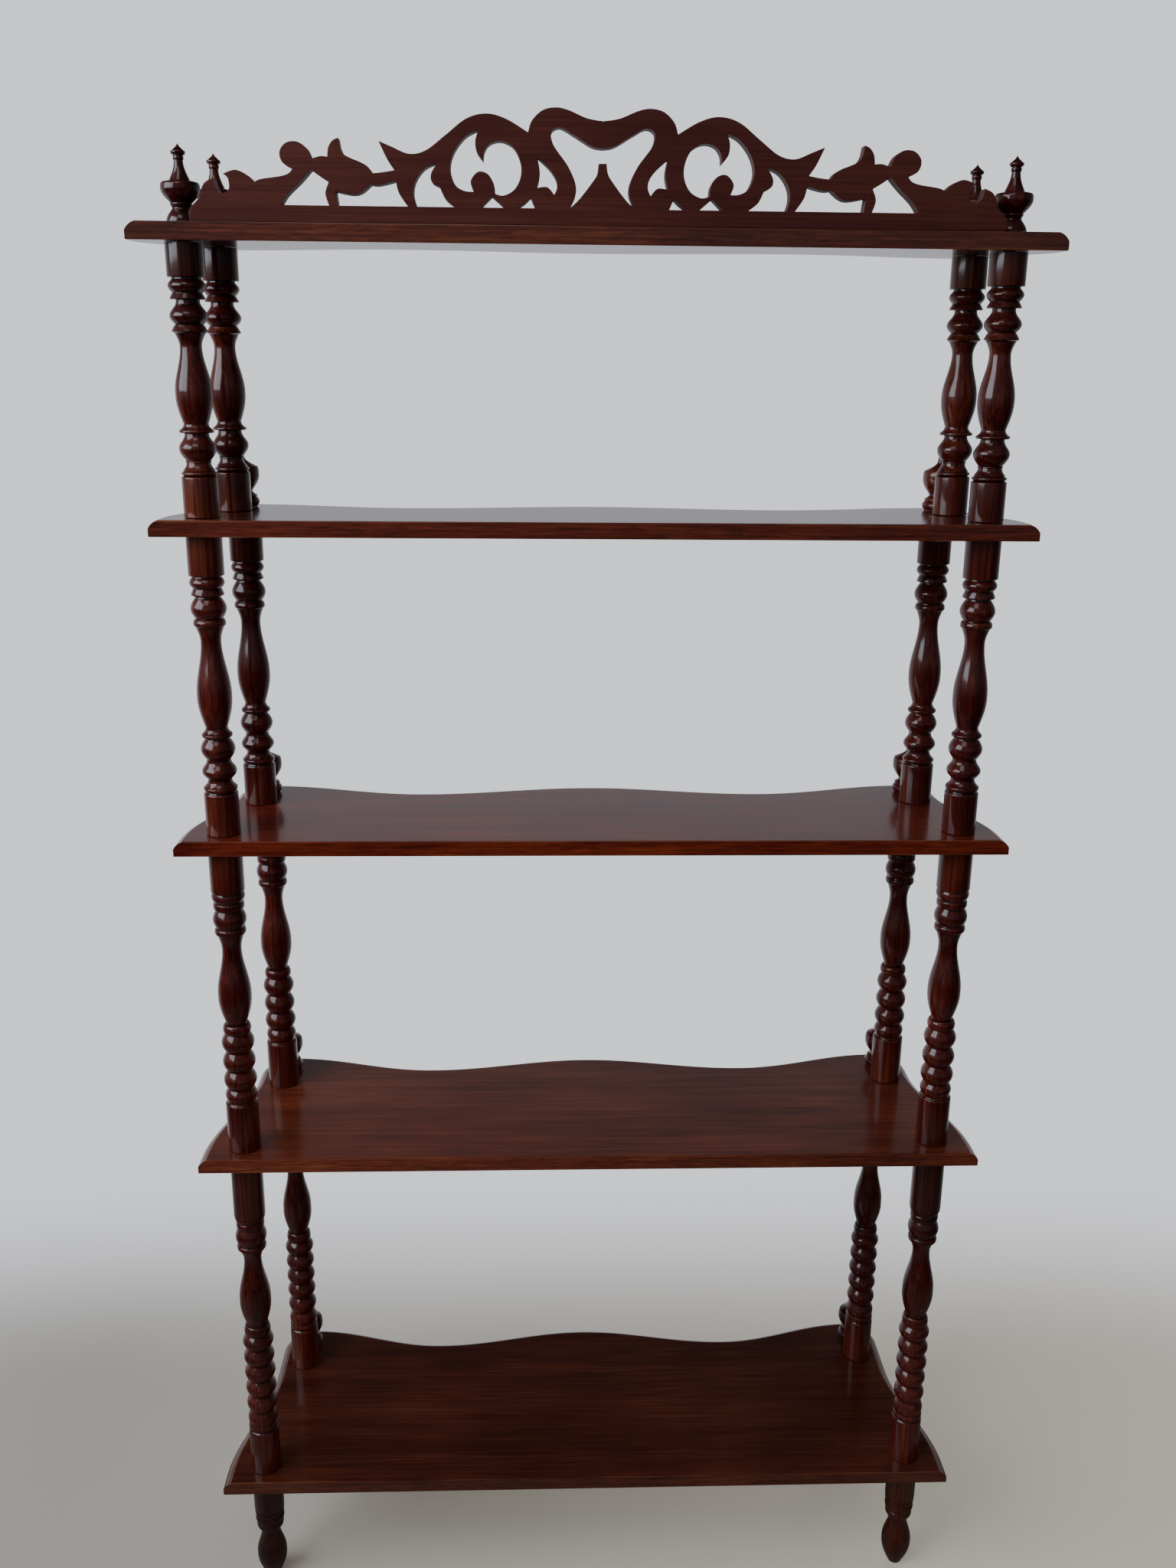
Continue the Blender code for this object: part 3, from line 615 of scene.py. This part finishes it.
def dress(piece, node, tone=(1.0, 1.0, 1.0)):
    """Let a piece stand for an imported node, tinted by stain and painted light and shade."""
    shown = piece.data.attributes.new("tone", "FLOAT_COLOR", "POINT")
    shown.data.foreach_set("color", [*tone, 1.0] * len(piece.data.vertices))
    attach(piece, BODY)
    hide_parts(node)


def straight(t):
    """Return the way from 0 to 1 itself."""
    return t


def flat_start(t):
    """Return a quarter of a wave from 0 to 1 that starts flat."""
    return 1 - math.cos(math.pi / 2 * t)


def flat_end(t):
    """Return a quarter of a wave from 0 to 1 that ends flat."""
    return math.sin(math.pi / 2 * t)


def flat_ends(t):
    """Return half a wave from 0 to 1 that starts and ends flat."""
    return (1 - math.cos(math.pi * t)) / 2


# How the radius goes from one mark to the next where a piece widens, and where it narrows
CUTS = {
    "line": (straight, straight),
    "swell": (flat_end, flat_start),
    "flare": (flat_start, flat_end),
    "ogee": (flat_ends, flat_ends),
    "round": (flat_end, flat_start),
}


def read_marks(table):
    """Return the cut of each of a turner's marks, and its height and radius in metres."""
    marks = []
    for row in table.split(","):
        *named, height, radius = row.split()
        cut = named[0] if named else marks[-1][0]
        marks.append((cut, float(height) * MM, float(radius) * MM))
    return marks


def turned_profile(table, length):
    """Return (radius, height) along a turner's marks, stretched to a length."""
    marks = read_marks(table)
    scale = length / marks[-1][1]
    _, height, radius = marks[0]
    profile = [(radius, height)]
    for cut, mark_height, end_radius in marks[1:]:
        end_height = mark_height * scale
        widens = end_radius > radius
        curve = CUTS[cut][0 if widens else 1]
        reach = math.dist((height, radius), (end_height, end_radius))
        steps = math.ceil(reach / sizes().turning_step)
        count = 1 if cut == "line" else max(LEAST_CUT_STEPS, steps)
        for index in range(1, count + 1):
            share = index / count
            swing = curve(share)
            if cut == "round":
                share = flat_start(share) if widens else flat_end(share)
            profile.append((radius + (end_radius - radius) * swing,
                            height + (end_height - height) * share))
        height, radius = end_height, end_radius
    return profile


def edge_values(profile):
    """Return how much each point of a profile sticks out, from 1 on an arris to -1 in a groove."""
    values = []
    for radius, height in profile:
        near = [other for other, level in profile if abs(level - height) <= EDGE_REACH]
        proud = radius - sum(near) / len(near)
        values.append(max(-1.0, min(1.0, proud / EDGE_PROUD)))
    return values


def lathe_tree():
    """Return the lathe: it turns a profile line round the Z axis and puts it in its place."""
    known = bpy.data.node_groups.get("Lathe")
    if known:
        return known
    tree = bpy.data.node_groups.new("Lathe", "GeometryNodeTree")
    for name, kind in (("Profile", "Geometry"), ("Sides", "Int"), ("Place", "Vector"),
                       ("Finish", "Material")):
        tree.interface.new_socket(name, in_out="INPUT", socket_type="NodeSocket" + kind)
    tree.interface.new_socket("Turned piece", in_out="OUTPUT", socket_type="NodeSocketGeometry")
    write = NodeWriter(tree)
    given = write.add("NodeGroupInput").outputs

    def shape(kind, values=None, **settings):
        """Add a Geometry Nodes node, and return its first output."""
        return write.add("GeometryNode" + kind, values, **settings).outputs[0]

    def of_mark(value, kind):
        """Return a value of the profile's point that a point of the grid stands for."""
        return shape("SampleIndex", {"Geometry": given["Profile"], "Value": value, "Index": row},
                     data_type=kind)

    rows = shape("AttributeDomainSize", {"Geometry": given["Profile"]})
    grid = shape("MeshGrid", {"Size X": 1.0, "Size Y": 1.0, "Vertices Y": rows,
                              "Vertices X": write.math("ADD", given["Sides"], 1.0)})
    index = shape("InputIndex")
    column = write.math("FLOOR", write.math("DIVIDE", write.math("ADD", index, 0.5), rows))
    row = write.math("SUBTRACT", index, write.times(column, rows))
    mark = write.split(of_mark(shape("InputPosition"), "FLOAT_VECTOR"))
    angle = write.math("DIVIDE", write.times(column, math.tau), given["Sides"])
    turned = write.add("ShaderNodeCombineXYZ", {
        "X": write.times(mark["X"], write.math("COSINE", angle)),
        "Y": write.times(mark["X"], write.math("SINE", angle)),
        "Z": mark["Z"]}).outputs[0]
    surface = shape("SetPosition", {"Geometry": grid, "Position": turned})
    edge = of_mark(shape("InputNamedAttribute", {"Name": "edge"}, data_type="FLOAT"), "FLOAT")
    marked = shape("StoreNamedAttribute", {"Geometry": surface, "Name": "edge", "Value": edge},
                   data_type="FLOAT", domain="POINT")
    closed = shape("MergeByDistance", {"Geometry": marked, "Distance": NO_LENGTH})
    spot = shape("Points", {"Count": 1, "Position": given["Place"]})
    copy = shape("InstanceOnPoints", {"Points": spot, "Instance": closed})
    real = shape("RealizeInstances", {"Geometry": copy})
    stained = shape("SetMaterial", {"Geometry": real, "Material": given["Finish"]})
    write.add("NodeGroupOutput", {"Turned piece": stained})
    return tree


def axis_of(node):
    """Return the x and y of a turned node's axis, and its lowest and highest point."""
    low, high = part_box(node)
    return (low.x + high.x) / 2, (low.y + high.y) / 2, low.z, high.z


def with_hidden_ends(outside, tenon_length, socket):
    """Add the hidden ends to a turned outside: a tenon below, and a socket in its top."""
    size = sizes()
    below = [(0.0, -tenon_length)]
    if tenon_length:
        below += [(size.tenon_radius, -tenon_length), (size.tenon_radius, 0.0)]
    inside = []
    if socket:
        hole = size.tenon_radius + size.fit
        top = outside[-1][1]
        floor = top - size.socket_depth
        inside = [(hole, top), (hole, floor), (0.0, floor)]
    return below + outside + inside


def turn(node, table, base, top, tone, socket=True):
    """Turn a piece from its marks between two heights, in the stead of a node."""
    x, y, low, _ = axis_of(node)
    profile = with_hidden_ends(turned_profile(table, top - base), base - low, socket)
    name = "turned_" + node
    line = bpy.data.meshes.new(name + "_profile")
    line.from_pydata([(radius, 0.0, height) for radius, height in profile],
                     [(index, index + 1) for index in range(len(profile) - 1)], [])
    # Edge values make proud arrises lighter, partly rubbing and partly a painted highlight, and
    # darken grooves with painted shade
    edge = line.attributes.new("edge", "FLOAT", "POINT")
    edge.data.foreach_set("value", edge_values(profile))
    blank = new_object(name + "_blank", line)
    lathe = blank.modifiers.new("Lathe", "NODES")
    lathe.node_group = lathe_tree()
    values = {"Sides": sizes().turned_sides, "Place": (x, y, base),
              "Finish": wood("turned_wood_lacquered")}
    for item in lathe.node_group.interface.items_tree:
        if item.name in values:
            lathe[item.identifier] = values[item.name]
    mesh = evaluated_mesh(blank, name)
    bpy.data.objects.remove(blank)
    bpy.data.meshes.remove(line)
    turn_outwards(mesh)
    shade(mesh, TURNED_HARD_ANGLE)
    dress(new_object(name, mesh), node, tone)


def underside(level):
    """Return the height of a board's underside."""
    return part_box("shelf_" + level)[0].z


def deck(level):
    """Return the height at which a turned piece stands on a board, just clear of it."""
    return underside(level) + sizes().board_thickness + sizes().fit


class MakePosts(bpy.types.Operator):
    """Turn the posts that stand between the boards"""
    bl_idname = "turned_shelf.posts"
    bl_label = "Turn the posts"

    def execute(self, context):
        for above, below in zip(LEVELS, LEVELS[1:]):
            for corner in CORNERS:
                turn("post_%s_%s" % (above, corner), POST_MARKS[above], deck(below),
                     underside(above) - sizes().fit, TURNED_TONES_AND_LIGHT[above])
        return {"FINISHED"}


class MakeFeet(bpy.types.Operator):
    """Turn the pear-shaped feet"""
    bl_idname = "turned_shelf.feet"
    bl_label = "Turn the feet"

    def execute(self, context):
        for corner in CORNERS:
            node = "foot_" + corner
            turn(node, FOOT_MARKS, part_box(node)[0].z, underside("bottom") - sizes().fit,
                 TURNED_TONES_AND_LIGHT["bottom"])
        return {"FINISHED"}


class MakeFinials(bpy.types.Operator):
    """Turn the finials that stand on the boards"""
    bl_idname = "turned_shelf.finials"
    bl_label = "Turn the finials"

    def execute(self, context):
        for level in LEVELS:
            marks = TOP_FINIAL_MARKS if level == "top" else TIER_FINIAL_MARKS
            for corner in CORNERS:
                node = "finial_%s_%s" % (level, corner)
                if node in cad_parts:
                    turn(node, marks, deck(level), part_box(node)[1].z, TURNED_TONES_AND_LIGHT[level],
                         socket=False)
        return {"FINISHED"}


def half_wave(start, end, steps):
    """Return the points of half a cosine wave from start to end, flat at both."""
    shares = [step / steps for step in range(1, steps + 1)]
    return [(start[0] + (end[0] - start[0]) * share,
             start[1] + (end[1] - start[1]) * flat_ends(share)) for share in shares]


def board_half_outline(depth):
    """Return the right half of a board's plan, from its back corner to the middle of its front."""
    size = sizes()
    end = size.board_width / 2
    waist = end - size.flank_draw_in
    flank_end = min(size.flank_end, depth - size.corner_radius - size.chamfer_width / 2)
    flank = half_wave((size.flank_start, end), (flank_end, waist), FLANK_STEPS)
    centre_x = waist - size.corner_radius
    centre_y = depth - size.corner_radius
    angles = [math.pi / 2 * step / CORNER_STEPS for step in range(CORNER_STEPS + 1)]
    dip = (size.dip_distance, depth - size.dip_depth)
    points = [
        (end, 0.0),
        (end, size.flank_start),
        *((x, y) for y, x in flank),
        *((centre_x + size.corner_radius * math.cos(angle),
           centre_y + size.corner_radius * math.sin(angle)) for angle in angles),
        *half_wave((centre_x, depth), dip, DIP_STEPS),
        *half_wave(dip, (0.0, depth - size.bow_setback), BOW_STEPS),
    ]
    return [point for index, point in enumerate(points)
            if index == 0 or math.dist(point, points[index - 1]) > LEAST_SPACING]


def inset(points, flank_width, back_width):
    """Move an outline's right half inwards, along its flank and front, and from its back."""
    after_last = (-points[-2][0], points[-2][1])
    moved = [(points[0][0] - flank_width, back_width)]
    for before, here, after in zip(points, points[1:], points[2:] + [after_last]):
        along = Vector((after[0] - before[0], after[1] - before[1])).normalized()
        moved.append((here[0] - along.y * flank_width, here[1] + along.x * flank_width))
    return moved


def whole_outline(half):
    """Mirror a right half that ends on the centre line into a full outline."""
    return half + [(-x, y) for x, y in reversed(half[:-1])]


def board_rings():
    """Return (inset of flank, inset of back, height, edge value) of a board's rings, going up."""
    size = sizes()
    arris = size.arris
    bend = arris * ARRIS_BEND
    top = size.board_thickness
    waist = top - size.chamfer_height
    width = size.chamfer_width
    # Each ring's last value is how light its arris is made: partly rubbing, partly a painted
    # highlight
    rings = [
        (arris, arris, 0.0, 1.0),
        (bend, bend, bend, 1.0),
        (0.0, 0.0, arris, 0.8),
        (0.0, 0.0, arris * 3, 0.0),
        (0.0, 0.0, waist - arris, 0.0),
        (0.0, 0.0, waist, 0.5),
    ]
    for step in range(1, CHAMFER_STEPS + 1):
        share = step / CHAMFER_STEPS
        crown = size.chamfer_crown * math.sin(math.pi * share)
        height = waist + (top - waist) * share * CHAMFER_UP + crown * CROWN_UP
        worn_and_lit = 0.9 if step == CHAMFER_STEPS else 0.0
        rings.append((width * share * CHAMFER_IN - crown, 0.0, min(height, top - arris), worn_and_lit))
    return rings + [
        (width + arris * DECK_BEND, bend, top - bend, 1.0),
        (width + arris, arris, top, 0.7),
        (width + arris * 4, arris * 4, top, 0.0),
    ]


def new_ring(bm, places, worn_and_lit):
    """Add a ring of points that share one edge value."""
    edge = bm.verts.layers.float["edge"]
    ring = [bm.verts.new(place) for place in places]
    for vert in ring:
        vert[edge] = worn_and_lit
    return ring


def pairs(ring):
    """Return each point of a ring with the one after it."""
    return list(zip(ring, ring[1:] + ring[:1]))


def skin(bm, first, second):
    """Join two rings of points with a band of faces, and return the faces."""
    return [bm.faces.new((near, next_near, next_far, far))
            for (near, next_near), (far, next_far) in zip(pairs(first), pairs(second))]


def board_mesh(name, depth, base, back_y):
    """Loft a board: a square lower edge, and a crowned chamfer round its flanks and front."""
    half = board_half_outline(depth)
    bm = bmesh.new()
    bm.verts.layers.float.new("edge")
    rings = []
    for flank, back, height, worn_and_lit in board_rings():
        outline = whole_outline(inset(half, flank, back))
        rings.append(new_ring(bm, [(x, back_y + y, base + height) for x, y in outline], worn_and_lit))
    for below, above in zip(rings, rings[1:]):
        skin(bm, below, above)
    floor = new_ring(bm, [(vert.co.x * UNDERSIDE_INSET, vert.co.y, base) for vert in rings[0]],
                     0.0)
    skin(bm, floor, rings[0])
    bm.faces.new(reversed(floor))
    bm.faces.new(rings[-1])
    bmesh.ops.recalc_face_normals(bm, faces=bm.faces)
    return mesh_of(bm, name)


def rod_mesh(name, rods):
    """Return round rods as one mesh; each rod is (x, y, radius, low, high)."""
    bm = bmesh.new()
    for x, y, radius, low, high in rods:
        bmesh.ops.create_cone(bm, cap_ends=True, segments=BIT_SIDES, radius1=radius,
                              radius2=radius, depth=high - low,
                              matrix=Matrix.Translation((x, y, (low + high) / 2)))
    return mesh_of(bm, name)


def drill(mesh, rods, name):
    """Return a mesh with round holes drilled in it."""
    blank = new_object(name + "_blank", mesh)
    bits = new_object(name + "_bits", rod_mesh(name + "_bits", rods))
    cut = blank.modifiers.new("Holes", "BOOLEAN")
    cut.operation = "DIFFERENCE"
    cut.solver = "EXACT"
    cut.object = bits
    drilled = evaluated_mesh(blank, name)
    for thing in (blank, bits):
        used = thing.data
        bpy.data.objects.remove(thing)
        bpy.data.meshes.remove(used)
    return drilled


def tenon_holes(level):
    """Return the rods of the tenons and dowels that enter a board."""
    size = sizes()
    low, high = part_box("shelf_" + level)
    rods = []
    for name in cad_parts:
        if name.startswith(("post_", "finial_", "crest_dowel_")):
            x, y, bottom, top = axis_of(name)
            if bottom < high.z - size.fit and high.z < top + size.fit:
                dowel = name.startswith("crest_dowel_")
                radius = (box_size(name).x / 2 if dowel else size.tenon_radius) + size.fit
                start = max(bottom - size.fit, low.z - size.fit * BIT_START)
                rods.append((x, y, radius, start, high.z + BIT_END))
    return rods


def show(name, mesh, wood_name, hard_angle):
    """Put a mesh in the scene with its wood and even shading, and return the piece."""
    shade(mesh, hard_angle)
    mesh.materials.clear()
    mesh.materials.append(wood(wood_name))
    piece = new_object(name, mesh)
    piece.modifiers.new("Even shading", "WEIGHTED_NORMAL").keep_sharp = True
    return piece


class MakeBoards(bpy.types.Operator):
    """Shape the five serpentine boards"""
    bl_idname = "turned_shelf.boards"
    bl_label = "Shape the boards"

    def execute(self, context):
        for level in LEVELS:
            node = "shelf_" + level
            low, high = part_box(node)
            name = "board_" + level
            mesh = board_mesh(name, high.y - low.y, low.z, low.y)
            mesh = drill(mesh, tenon_holes(level), name)
            piece = show(name, mesh, "board_wood", BOARD_HARD_ANGLE)
            dress(piece, node, BOARD_TONES_AND_LIGHT[level])
        return {"FINISHED"}


def smooth_run(points, spacing):
    """Return points along a Catmull-Rom curve through the points, all but the last."""
    ends = [points[0], *points, points[-1]]
    run = []
    for before, start, end, after in zip(ends, ends[1:], ends[2:], ends[3:]):
        steps = max(1, round(math.dist(start, end) / spacing))
        for step in range(steps):
            t = step / steps
            run.append(tuple(
                0.5 * (2 * s + (e - b) * t + (2 * b - 5 * s + 4 * e - a) * t ** 2
                       + (3 * s - b - 3 * e + a) * t ** 3)
                for b, s, e, a in zip(before, start, end, after)))
    return run


def smooth_line(runs, spacing):
    """Return points along runs that meet at sharp corners, up to the end of the last."""
    line = []
    for run in runs:
        points = [tuple(float(value) for value in point.split()) for point in run.split(",")]
        line += smooth_run(points, spacing)
    return line + [points[-1]]


def crest_loops(half_length, height):
    """Return the crest's outline and openings as closed loops in (x, z), at their real size."""
    spacing = sizes().crest_step / MM
    spade = smooth_line(SPADE_OPENING.values(), spacing)
    loops = [whole_outline(smooth_line(CREST_EDGE.values(), spacing)),
             spade + [(-x, z) for x, z in reversed(spade[1:])]]
    for runs in CREST_OPENINGS.values():
        loop = []
        for run in runs:
            loop += smooth_line([run], spacing)
        loop = [point for index, point in enumerate(loop) if point != loop[index - 1]]
        loops += [loop, [(-x, z) for x, z in loop]]
    scale_x = half_length / DRAWN_HALF_LENGTH
    scale_z = height / DRAWN_HEIGHT
    return [[(x * scale_x, z * scale_z) for x, z in loop] for loop in loops]


def signed_area(loop):
    """Return a loop's area, positive when it runs anticlockwise."""
    return sum(x0 * z1 - x1 * z0 for (x0, z0), (x1, z1) in pairs(loop)) / 2


def eased(loop, width):
    """Move each point of a loop to its left by a width, and no further at a sharp tip."""
    moved = []
    for before, (x, z), after in zip(loop[-1:] + loop, loop, loop[1:] + loop[:1]):
        first = (Vector((x, z)) - Vector(before)).normalized()
        second = (Vector(after) - Vector((x, z))).normalized()
        left = Vector((-(first.y + second.y), first.x + second.x))
        if left.length < NO_LENGTH:
            left = Vector((-first.y, first.x))
        left.normalize()
        moved.append((x + left.x * width, z + left.y * width))
    return moved


def crest_mesh(name, low, high):
    """Fill the pierced outline, and give it its thickness, eased arrises and sawn walls."""
    ease = sizes().crest_arris
    bend = ease * ARRIS_BEND
    thickness = high.y - low.y
    # Each depth's last value is how light its arris is made: partly rubbing, partly a painted
    # highlight
    depths = ((0.0, ease, 1.0), (bend, bend, 1.0), (ease, 0.0, 0.6),
              (thickness - ease, 0.0, 0.6), (thickness - bend, bend, 1.0),
              (thickness, ease, 1.0))
    wall = len(depths) // 2 - 1
    centre_x = (low.x + high.x) / 2
    bm = bmesh.new()
    bm.verts.layers.float.new("edge")
    sawn = bm.faces.layers.float.new("sawn")
    borders = ([], [])
    for number, loop in enumerate(crest_loops((high.x - low.x) / 2, high.z - low.z)):
        hole = number > 0
        into_wood = 1 if (signed_area(loop) > 0) != hole else -1
        rings = [new_ring(bm, [(centre_x + x, low.y + depth, low.z + z)
                               for x, z in eased(loop, width * into_wood)], worn_and_lit)
                 for depth, width, worn_and_lit in depths]
        for step, (near, far) in enumerate(zip(rings, rings[1:])):
            for face in skin(bm, near, far):
                face[sawn] = SAWN_WALL if step == wall else SAWN_ARRIS
        for border, ring in zip(borders, (rings[0], rings[-1])):
            border += [bm.edges.get(pair) for pair in pairs(ring)]
    for border in borders:
        bmesh.ops.triangle_fill(bm, use_beauty=True, use_dissolve=False, edges=border)
    bmesh.ops.recalc_face_normals(bm, faces=bm.faces)
    return mesh_of(bm, name)


class MakeCrest(bpy.types.Operator):
    """Saw the pierced crest"""
    bl_idname = "turned_shelf.crest"
    bl_label = "Saw the crest"

    def execute(self, context):
        mesh = crest_mesh("sawn_crest", *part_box("crest"))
        piece = show("sawn_crest", mesh, "crest_wood_satin", CREST_HARD_ANGLE)
        dress(piece, "crest")
        return {"FINISHED"}


class FinishDowels(bpy.types.Operator):
    """Give the crest's dowels their bare wood"""
    bl_idname = "turned_shelf.dowels"
    bl_label = "Finish the dowels"

    def execute(self, context):
        dowels = [piece for name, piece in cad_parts.items()
                  if name.startswith("crest_dowel_")]
        if not dowels:
            raise RuntimeError("the packed model holds no dowels")
        for dowel in dowels:
            for slot in dowel.material_slots:
                slot.material = wood("dowel_wood_bare")
        return {"FINISHED"}


def add_camera():
    """Add the camera at the photograph's viewing angle."""
    data = bpy.data.cameras.new("camera")
    data.lens = CAMERA_LENS
    data.sensor_width = CAMERA_SENSOR
    data.clip_start = CAMERA_CLIP
    camera = new_object("camera", data)
    yaw, pitch, roll = (math.radians(angle) for angle in (CAMERA_YAW, CAMERA_PITCH, CAMERA_ROLL))
    ahead = Vector((-math.sin(yaw) * math.cos(pitch), math.cos(yaw) * math.cos(pitch),
                    -math.sin(pitch)))
    across = Vector((math.cos(yaw), math.sin(yaw), 0.0))
    upward = across.cross(ahead)
    right = math.cos(roll) * across + math.sin(roll) * upward
    up = math.cos(roll) * upward - math.sin(roll) * across
    turned = Matrix((right, up, -ahead)).transposed().to_4x4()
    camera.matrix_world = Matrix.Translation(CAMERA_PLACE) @ turned
    bpy.context.scene.camera = camera


def add_light(name, light):
    """Add a soft rectangular light that faces its target."""
    data = bpy.data.lights.new(name, "AREA")
    data.shape = "RECTANGLE"
    data.size = light.width
    data.size_y = light.height
    data.energy = light.power
    data.color = light.colour
    lamp = new_object(name, data)
    lamp.location = light.place
    aim = Vector(light.target) - Vector(light.place)
    lamp.rotation_euler = aim.to_track_quat("-Z", "Y").to_euler()
    lamp.visible_glossy = light.glossy


def add_world():
    """Add pale surroundings: an even backdrop, and a soft glow on the shelf and in its lacquer."""
    world = bpy.data.worlds.new("studio")
    world.use_nodes = True
    bpy.context.scene.world = world
    write = NodeWriter(world.node_tree)
    direction = write.split(write.add("ShaderNodeTexCoord").outputs["Generated"])
    behind = write.fit(direction["Z"], *GLOW_BEHIND)
    before = write.times(write.fit(direction["Z"], *GLOW_BEFORE),
                         write.fit(direction["Z"], *GLOW_OVERHEAD))
    share = write.fit(direction["Y"], *TURN_BEHIND)
    level = write.weighted((behind, before), (share, write.math("SUBTRACT", 1.0, share)))
    rays = write.add("ShaderNodeLightPath").outputs
    dim = write.times(rays["Is Glossy Ray"], write.fit(direction["X"], *DIM_RIGHT))
    glow = write.tinted(GLOW_COLOUR, write.times(level, write.math("SUBTRACT", 1.0, dim)))
    shown = write.mix(rays["Is Camera Ray"], glow, BACKDROP_COLOUR)
    write.set(world.node_tree.nodes["Background"], {"Color": shown, "Strength": 1.0})


def floor_material():
    """Return the pale, faintly mottled floor, which fades out all round, and sooner towards +Y.

    The lacquer mirrors it dimly. Seen directly, it glows a little towards +X.
    """
    material, write, shader = new_material("studio_floor")
    place = write.add("ShaderNodeTexCoord").outputs["Object"]
    mottle = write.noise(place, *FLOOR_MOTTLE)
    rays = write.add("ShaderNodeLightPath").outputs
    pale = finish().floor
    colour = write.mix(write.fit(mottle, *UNEVEN), rgba(shaded(pale, FLOOR_MOTTLE_SHADE)),
                       rgba(pale))
    colour = write.mix(rays["Is Glossy Ray"], colour, rgba(shaded(pale, FLOOR_MIRRORED_SHADE)))
    far = write.add("ShaderNodeVectorMath", {0: place}, operation="LENGTH").outputs["Value"]
    parts = write.split(place)
    alpha = write.times(write.fit(far, *FLOOR_FADE_ROUND, curve="SMOOTHERSTEP"),
                        write.fit(parts["Y"], *FLOOR_FADE_AHEAD, curve="SMOOTHERSTEP"))
    glow = write.times(write.fit(parts["X"], *FLOOR_GLOW), rays["Is Camera Ray"])
    write.set(shader, {
        "Base Color": colour, "Roughness": FLOOR_ROUGHNESS, "Alpha": alpha,
        "Emission Color": FLOOR_GLOW_COLOUR, "Emission Strength": glow})
    return material


class SetStage(bpy.types.Operator):
    """Set up the floor, the soft lights, the pale surroundings and the camera"""
    bl_idname = "turned_shelf.stage"
    bl_label = "Set the stage"

    def execute(self, context):
        bm = bmesh.new()
        bmesh.ops.create_circle(bm, cap_ends=True, segments=FLOOR_SIDES, radius=FLOOR_RADIUS)
        mesh = mesh_of(bm, "studio_floor")
        mesh.materials.append(floor_material())
        new_object("studio_floor", mesh)
        add_world()
        for name, light in LIGHTS.items():
            add_light(name, light)
        add_camera()
        return {"FINISHED"}


class ShelfPanel(bpy.types.Panel):
    """Lists the steps that make the shelf"""
    bl_label = "Turned wood shelf"
    bl_idname = "VIEW3D_PT_turned_shelf"
    bl_space_type = "VIEW_3D"
    bl_region_type = "UI"
    bl_category = "Turned wood shelf"

    def draw(self, context):
        for step in STEPS:
            self.layout.operator(step.bl_idname)


STEPS = (SetStage, MakeBoards, MakePosts, MakeFeet, MakeFinials, MakeCrest, FinishDowels)
CLASSES = (ShelfSizes, ShelfFinish, *STEPS, ShelfPanel)


def register():
    """Register the classes and the settings of the scene."""
    for each in CLASSES:
        bpy.utils.register_class(each)
    bpy.types.Scene.turned_shelf_sizes = PointerProperty(type=ShelfSizes)
    bpy.types.Scene.turned_shelf_finish = PointerProperty(type=ShelfFinish)


def unregister():
    """Take the settings and the classes out again."""
    del bpy.types.Scene.turned_shelf_finish
    del bpy.types.Scene.turned_shelf_sizes
    for each in reversed(CLASSES):
        bpy.utils.unregister_class(each)


def main():
    """Make the whole shelf and its stage."""
    register()
    for step in STEPS:
        group, name = step.bl_idname.split(".")
        getattr(getattr(bpy.ops, group), name)()


if __name__ == "__main__":
    main()
